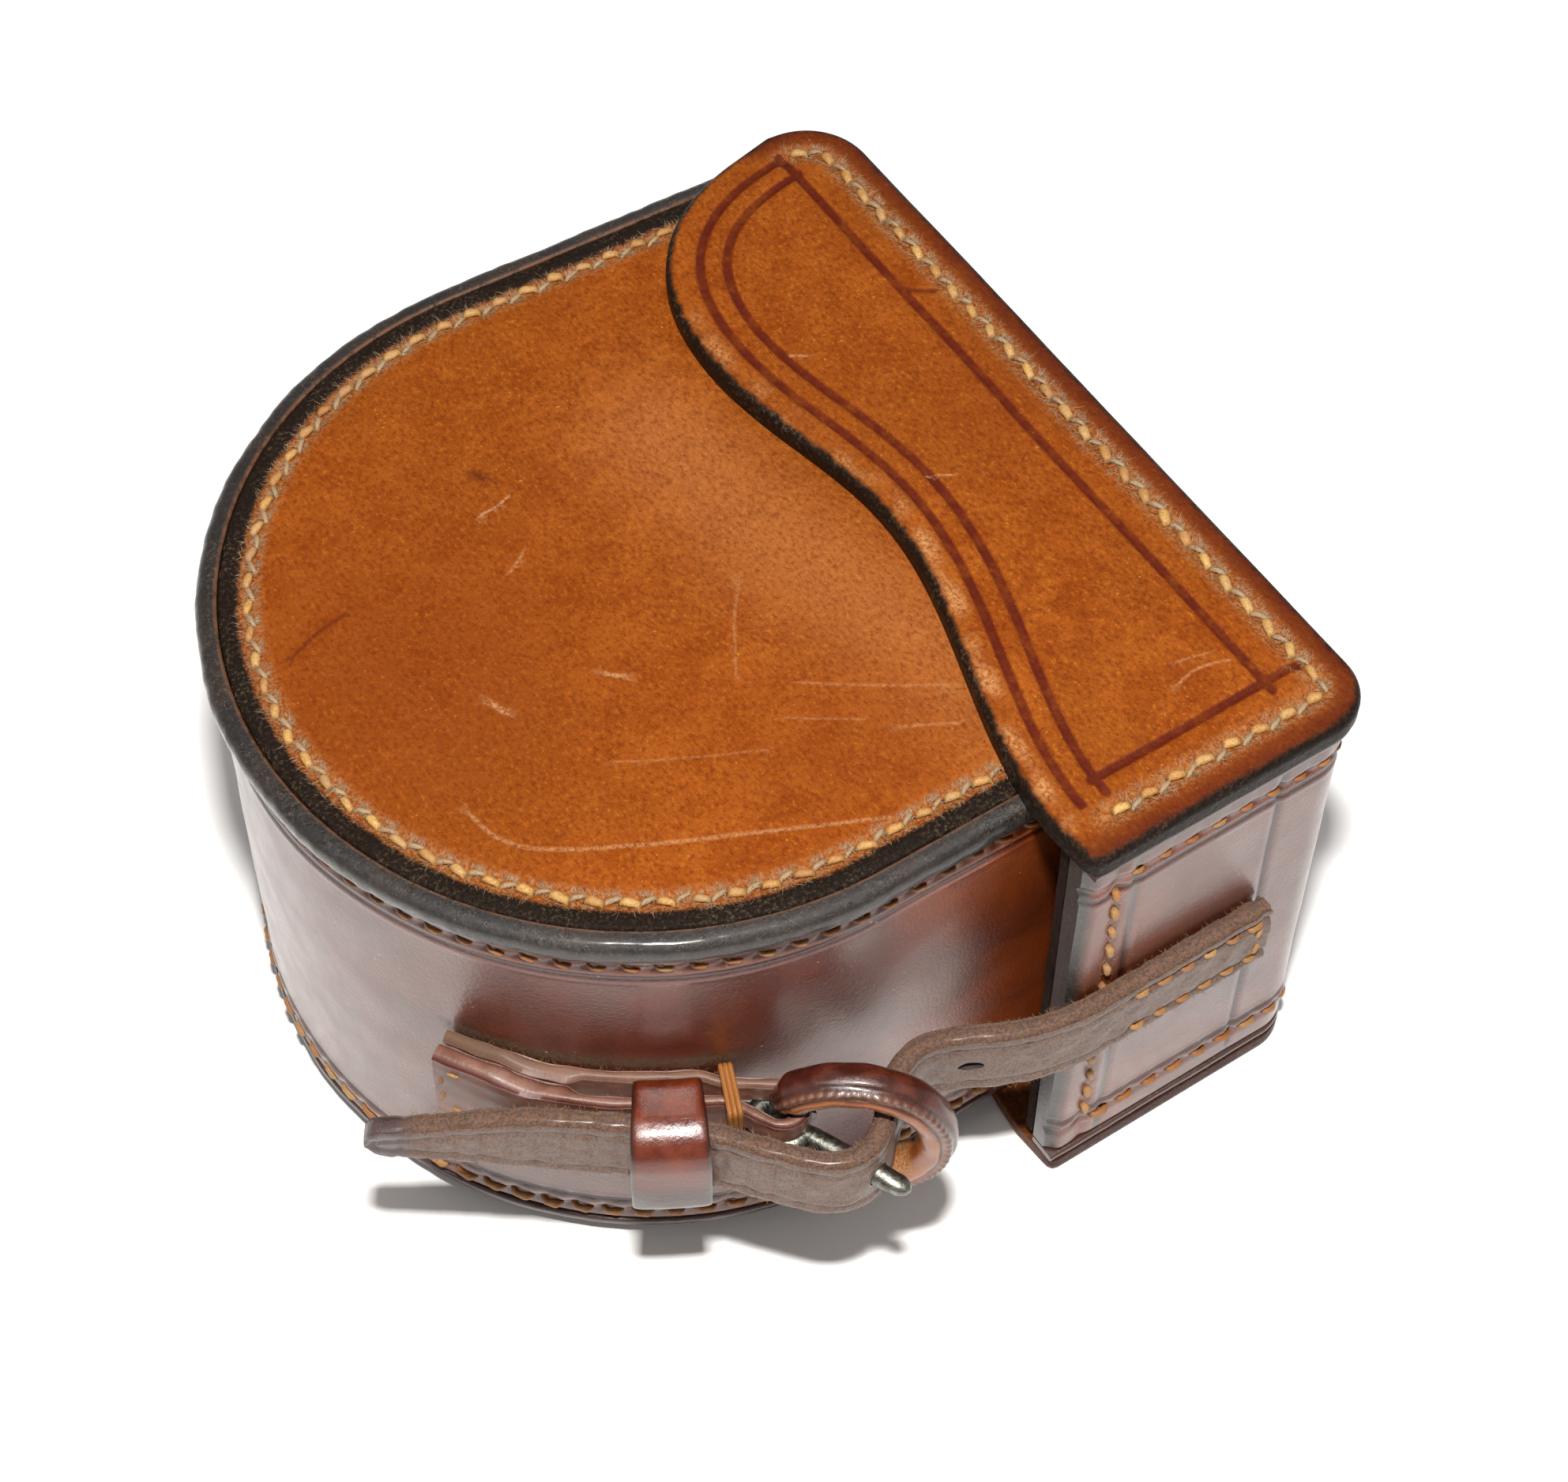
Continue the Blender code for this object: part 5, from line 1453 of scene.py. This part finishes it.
def build_keeper():
    """Closed leather loop round the strap, with rounded rims and a worn lower end."""
    low, high = extent("keeper", "z")
    middle_z = (low + high) / 2
    half = KEEPER_THICKNESS / 2
    inner, outer_face = KEEPER_BACK + half, KEEPER_FRONT - half
    bottom, top = low + half, high - half
    loop = []
    for reach, height, radius, start in (
            (outer_face, top, 3.9, 0.0), (inner, top, 1.4, 90.0), (inner, bottom, 1.4, 180.0),
            (outer_face, bottom, 0.9, 270.0)):
        centre_a = reach - radius if start in (0.0, 270.0) else reach + radius
        centre_b = height - radius if start < 180 else height + radius
        for angle in np.radians(np.linspace(start, start + 90.0, 13)):
            loop.append((centre_a + radius * math.cos(angle), centre_b + radius * math.sin(angle)))
    closed = np.array(loop + loop[:1])
    loop = Path(closed, 1, 0.4).points[:-1]
    centre = loop.mean(axis=0)
    tangent = np.roll(loop, -1, axis=0) - np.roll(loop, 1, axis=0)
    tangent /= np.linalg.norm(tangent, axis=1, keepdims=True)
    normal = np.stack([tangent[:, 1], -tangent[:, 0]], 1)
    normal *= np.sign(np.sum(normal * (loop - centre), axis=1))[:, None]
    band = np.array(rounded_section(-half, half, -1.0, 1.0, 0.28, 0.12, 4))
    count = len(band)
    depth, share = np.tile(band, (len(loop), 1)).T
    radius, z = (np.repeat(loop, count, axis=0) + np.repeat(normal, count, axis=0) * depth[:, None]).T
    outer = depth > 0
    spots = np.column_stack([share * 3.7, z, radius])
    bowed = 0.05 * ripple(spots, 5.0, 91) * outer * (radius > 58)
    crown = 0.3 * (1 - ((z - middle_z) / 7) ** 2) * smooth((radius - 57) / 3)
    first, last = np.radians(KEEPER_ANGLES)
    angle = (first + last) / 2 + share * (last - first) / 2
    reach = radius + bowed + crown - 0.12
    points = np.column_stack([reach * np.cos(angle), reach * np.sin(angle), z])
    edge = smooth((np.abs(share) - 0.86) / 0.1)
    suede = np.where(outer, 0.85 * smooth((middle_z + 1.5 - z) / 5), 1.0)
    build("keeper_loop", points, tube_faces(len(loop), count, True), MATERIALS["keeper"], "keeper",
          "mahogany_leather", ("keeper",), edge=edge, suede=suede)


def tube_mesh(points, radii, sides, closed):
    """Round or shaped tube along 3-D points; radii is one row of radii per point."""
    points = np.array(points, float)
    count = len(points)
    if closed:
        along = np.roll(points, -1, axis=0) - np.roll(points, 1, axis=0)
    else:
        along = np.gradient(points, axis=0)
    along /= np.linalg.norm(along, axis=1, keepdims=True)
    across = np.cross(along[0], [0.0, 0.0, 1.0])
    if np.linalg.norm(across) < 0.1:
        across = np.cross(along[0], [1.0, 0.0, 0.0])
    rings = []
    theta = np.arange(sides) * 2 * math.pi / sides
    for index in range(count):
        across = across - along[index] * (across @ along[index])
        across /= np.linalg.norm(across)
        other = np.cross(along[index], across)
        row = np.broadcast_to(radii[index], (sides,))
        rings.append(points[index] + (
            across * np.cos(theta)[:, None] + other * np.sin(theta)[:, None]) * row[:, None])
    return np.vstack(rings), tube_faces(count, sides, closed)


def build_ring():
    """Leather sewn round the ring, its serrated seam on the front of the ring."""
    limit = math.radians(146)
    full = math.pi - RING_COVER_START
    steps, sides = 220, 56
    direction = ring_direction()
    outward = np.array([direction[1], -direction[0], 0.0])
    theta = np.arange(sides) * 2 * math.pi / sides
    turn = (theta - RING_SEAM_TURN + math.pi) % (2 * math.pi) - math.pi
    rings, ridge, groove, reach = [], [], [], []
    for angle in np.linspace(-limit, limit, steps + 1):
        flat = direction * RING_RADIUS * math.cos(angle)
        centre = np.array([RING_CENTRE[0] + flat[0], RING_CENTRE[1] + flat[1],
                           STRAP_Z + RING_RADIUS * math.sin(angle)])
        away = np.array([direction[0] * math.cos(angle), direction[1] * math.cos(angle),
                         math.sin(angle)])
        arc = angle * RING_RADIUS
        tooth = 0.5 + 0.5 * math.cos(2 * math.pi * arc / 0.95)
        radius = RING_COVER_RADIUS * (1 - 0.04 * np.cos(2 * theta))
        radius = radius + (0.16 + 0.2 * tooth) * bump(turn, 0.13)
        radius = radius - 0.30 * bump(turn - 0.34, 0.12) - 0.20 * bump(turn + 0.34, 0.12)
        end = smooth((abs(angle) - full) / (limit - full))
        radius = radius * (1 - 0.26 * end) - 0.1
        spots = np.column_stack([np.full(sides, arc), theta * 2.4])
        radius = radius + 0.05 * ripple(spots, 3.2, 95)
        rings.append(centre + away * (np.cos(theta) * radius)[:, None]
                     + outward * (np.sin(theta) * radius)[:, None])
        ridge.append(bump(turn, 0.15) * (0.4 + 0.6 * tooth))
        groove.append(bump(turn - 0.36, 0.09) + 0.8 * bump(turn + 0.36, 0.09))
        reach.append(np.full(sides, angle))
    reach = np.concatenate(reach)
    inner = np.tile(smooth(-np.cos(theta) * 1.4), steps + 1)
    torn = smooth((-reach - 0.3) / 0.4) * smooth((reach + 1.9) / 0.4)
    suede = np.clip(inner * torn, 0, 1)
    band = smooth((theta - math.radians(62)) / 0.1) * smooth((math.radians(230) - theta) / 0.5)
    build("ring_cover_leather", np.vstack(rings), tube_faces(steps + 1, sides), MATERIALS["ring"],
          "ring", "mahogany_leather", ("ring_cover",), ridge=np.concatenate(ridge),
          groove=np.concatenate(groove), inside=np.tile(band, steps + 1), suede=suede)
    dress("ring_core", MATERIALS["steel"])


def build_prong():
    """Eye bent round the bar and a straight shank with a flattened tip."""
    axis, along = ring_axis(), prong_direction()
    eye_radius = RING_BAR_RADIUS + GAP + PRONG_RADIUS
    lead = math.atan2(along[1], along[0])
    line, radii = [], []
    for angle in np.linspace(math.radians(-318), 0, 40):
        line.append((axis[0] + eye_radius * math.cos(lead + angle),
                     axis[1] + eye_radius * math.sin(lead + angle), STRAP_Z))
        radii.append(1.12 * (0.82 + 0.18 * smooth((angle + 5.5) / 0.8)))
    stops = np.linspace(eye_radius + 0.8, PRONG_LENGTH, 40)
    for distance in stops:
        line.append((axis[0] + along[0] * distance, axis[1] + along[1] * distance, STRAP_Z))
        end = PRONG_LENGTH - distance
        radii.append(PRONG_RADIUS * min(1.0, 0.24 + math.sqrt(max(end, 0) / 2.2)))
    theta = np.arange(20) * 2 * math.pi / 20
    flat = smooth((np.arange(len(line)) - len(line) + 14) / 9)[:, None]
    rows = np.array(radii)[:, None] * (
        1 + 0.10 * flat * np.cos(2 * theta)[None] - 0.08 * flat + 0.12 * (1 - flat))
    points, faces = tube_mesh(line, rows, 20, False)
    build("prong_steel", points, faces, MATERIALS["steel"], "prong", "steel", ("prong",))


def build_chape():
    path = Path(catmull(chape_path(), 6), 1, 0.35)
    degrees = np.degrees(np.arctan2(path.points[:, 1], path.points[:, 0])) % 360
    end_half, middle_half, fold_half = CHAPE_HALF_WIDTHS
    half = middle_half + (end_half - middle_half) * smooth((224 - degrees) / 6)
    half = half - (middle_half - fold_half) * smooth((degrees - 238) / 10)
    returning = path.along > path.length / 2
    gap = chape_upper(degrees) - CHAPE_FILL_RADIUS
    filled = gap / 2 * smooth((229.6 - degrees) / 2.4)
    thick_end = 0.6 * returning * smooth((228 - degrees) / 7)

    def relief(along, a, b, width):
        spots = np.column_stack([along, b * width])
        bevel = bump(width - np.abs(b) * width - 1.1, 0.3)
        within = np.interp(along, path.along, filled)
        without = np.interp(along, path.along, thick_end)
        return 0.05 * ripple(spots, 3.5, 86) - 0.14 * bevel + np.where(a > 0, within, without)

    def edge(along, a, b, width):
        corner = smooth((np.abs(a) - 0.62) / 0.2) * smooth((np.abs(b) - 0.90) / 0.06)
        return corner * (along > path.length * 0.5)

    def suede(along, a, b, width):
        rim = smooth((np.abs(b) - 0.94) / 0.05)
        base = along < path.length * 0.5
        left = smooth((226 - np.interp(along, path.along, degrees)) / 10)
        return np.clip(rim * base * (0.35 + 0.6 * left), 0, 1)

    piece = ribbon(path, CHAPE_THICKNESS, half, "chape_leather", MATERIALS["chape"], "case",
                   "mahogany_leather", ("chape",), relief, {"edge": edge, "suede": suede},
                   (7, 22))
    axis, along = ring_axis(), ring_direction()
    side = np.array([along[1], -along[0]])
    deep, wide, tall = CHAPE_SLOT_HALF
    corners = ((1, 1), (-1, 1), (-1, -1), (1, -1))
    cut(piece, [cutter([
        [(*(axis + along * reach + side * wide * a), STRAP_Z + tall * b) for a, b in corners]
        for reach in (-deep, deep)])])
    rows = [(212.0, z, True) for z in (-1.7, 1.7)]
    rows += [(degrees, z, False) for degrees in (213.8, 217.4, 221.0) for z in (-3.9, 3.9)]
    centre, tangent, up = [], [], []
    for degrees, z, vertical in rows:
        centre.append((*polar(degrees, CHAPE_END_RADIUS + 1.35), STRAP_Z + z))
        up.append((*polar(degrees, 1.0), 0.0))
        tangent.append((0.0, 0.0, 1.0) if vertical else (*polar(degrees + 90, 1.0), 0.0))
    stitches("chape_stitches", (np.array(centre), np.array(tangent), np.array(up)), "case",
             "chape_thread", length=2.4, radius=0.36, slant=8.0, lift=0.0, seed=23, tint=0.35)
    rim_fibres("chape_fibres", path, half, slice(10, -10, 3), 1, "case", "mahogany_leather",
               7, 0.7, 0.7, 46)


def build_binding():
    """Waxed thread wound round the neck of the chape."""
    low, high = extent("chape_binding", "z")
    loop = np.array(rounded_section(*BINDING_RADII, low + 0.2, high - 0.2, 0.7, 0.6, 4))
    points, faces, start = [], [], 0
    for degrees in BINDING_TURNS:
        line = [(*polar(degrees, radius), z) for radius, z in loop]
        one, mesh_faces = tube_mesh(line, np.full((len(line), 8), THREAD_RADIUS), 8, True)
        points.append(one)
        faces += [[k + start for k in face] for face in mesh_faces]
        start += len(one)
    points = np.vstack(points)
    build("chape_binding_thread", points, faces, MATERIALS["thread"], "case", "linen_thread",
          ("chape_binding",), shade=0.1, tip=0.0, grey=0.0)


def dress(name, material):
    """Gives a CAD node that is shown as it is one of this file's materials."""
    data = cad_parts[name].data
    data.materials.clear()
    data.materials.append(material)


# Room, light and camera

CAMERA_TARGET = (12.9, -9.48, 31.5)
CAMERA_DISTANCE = 413.6
CAMERA_AZIMUTH = math.radians(-34.25)
CAMERA_ELEVATION = math.radians(54.46)
CAMERA_ROLL = math.radians(0.72)
CAMERA_LENS = 79.7


def direction(azimuth, elevation):
    return Vector((math.sin(azimuth) * math.cos(elevation),
                   -math.cos(azimuth) * math.cos(elevation), math.sin(elevation)))


def area_light(name, azimuth, elevation, distance, size, power, colour):
    data = bpy.data.lights.new(name, "AREA")
    data.shape = "RECTANGLE"
    data.size, data.size_y = size
    data.energy = power
    data.color = colour
    lamp = bpy.data.objects.new(name, data)
    target = Vector(CAMERA_TARGET) * MM
    towards = direction(math.radians(azimuth), math.radians(elevation))
    lamp.location = target + towards * distance
    lamp.rotation_euler = towards.to_track_quat("Z", "Y").to_euler()
    bpy.context.scene.collection.objects.link(lamp)


def build_room():
    scene = bpy.context.scene
    data = bpy.data.cameras.new("camera")
    data.sensor_fit = "HORIZONTAL"
    data.sensor_width = 36.0
    data.lens = CAMERA_LENS
    data.clip_start = 0.01
    camera = bpy.data.objects.new("camera", data)
    back = direction(CAMERA_AZIMUTH, CAMERA_ELEVATION)
    camera.location = Vector(CAMERA_TARGET) * MM + back * CAMERA_DISTANCE * MM
    camera.rotation_mode = "QUATERNION"
    camera.rotation_quaternion = back.to_track_quat("Z", "Y") @ Quaternion((0, 0, 1), CAMERA_ROLL)
    scene.collection.objects.link(camera)
    scene.camera = camera

    world = bpy.data.worlds.new("studio")
    scene.world = world
    world.use_nodes = True
    sky = world.node_tree.nodes["Background"]
    sky.inputs["Color"].default_value = (1.0, 0.985, 0.97, 1.0)
    sky.inputs["Strength"].default_value = 0.36
    scene.view_settings.view_transform = "Standard"

    area_light("flash", math.degrees(CAMERA_AZIMUTH), 66, 0.46, (0.034, 0.02), 3.9, (1.0, 0.98, 0.95))
    area_light("window", 120, 35, 0.9, (0.8, 0.5), 0.8, (0.95, 0.97, 1.0))

    size = 3.0
    floor_z = extent("lid_bottom_panel", "z")[0] * MM - 0.0001
    corners = [(-size, -size, floor_z), (size, -size, floor_z),
               (size, size, floor_z), (-size, size, floor_z)]
    data = bpy.data.meshes.new("floor")
    data.from_pydata(corners, [], [(0, 1, 2, 3)])
    floor = bpy.data.objects.new("floor", data)
    paper = Shader("white_paper", roughness=0.75, Specular_IOR_Level=0.2)
    paper.colour(paper.mix(paper.noise(60.0, 2), (0.90, 0.89, 0.88, 1), (0.93, 0.925, 0.92, 1)))
    data.materials.append(paper.material)
    scene.collection.objects.link(floor)


MATERIALS = make_materials()
build_room()
build_body()
build_lid()
build_hinge()
build_strap()
build_keeper()
build_ring()
build_prong()
build_chape()
build_binding()
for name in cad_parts:
    if "lining" in name:
        dress(name, MATERIALS["cloth"])
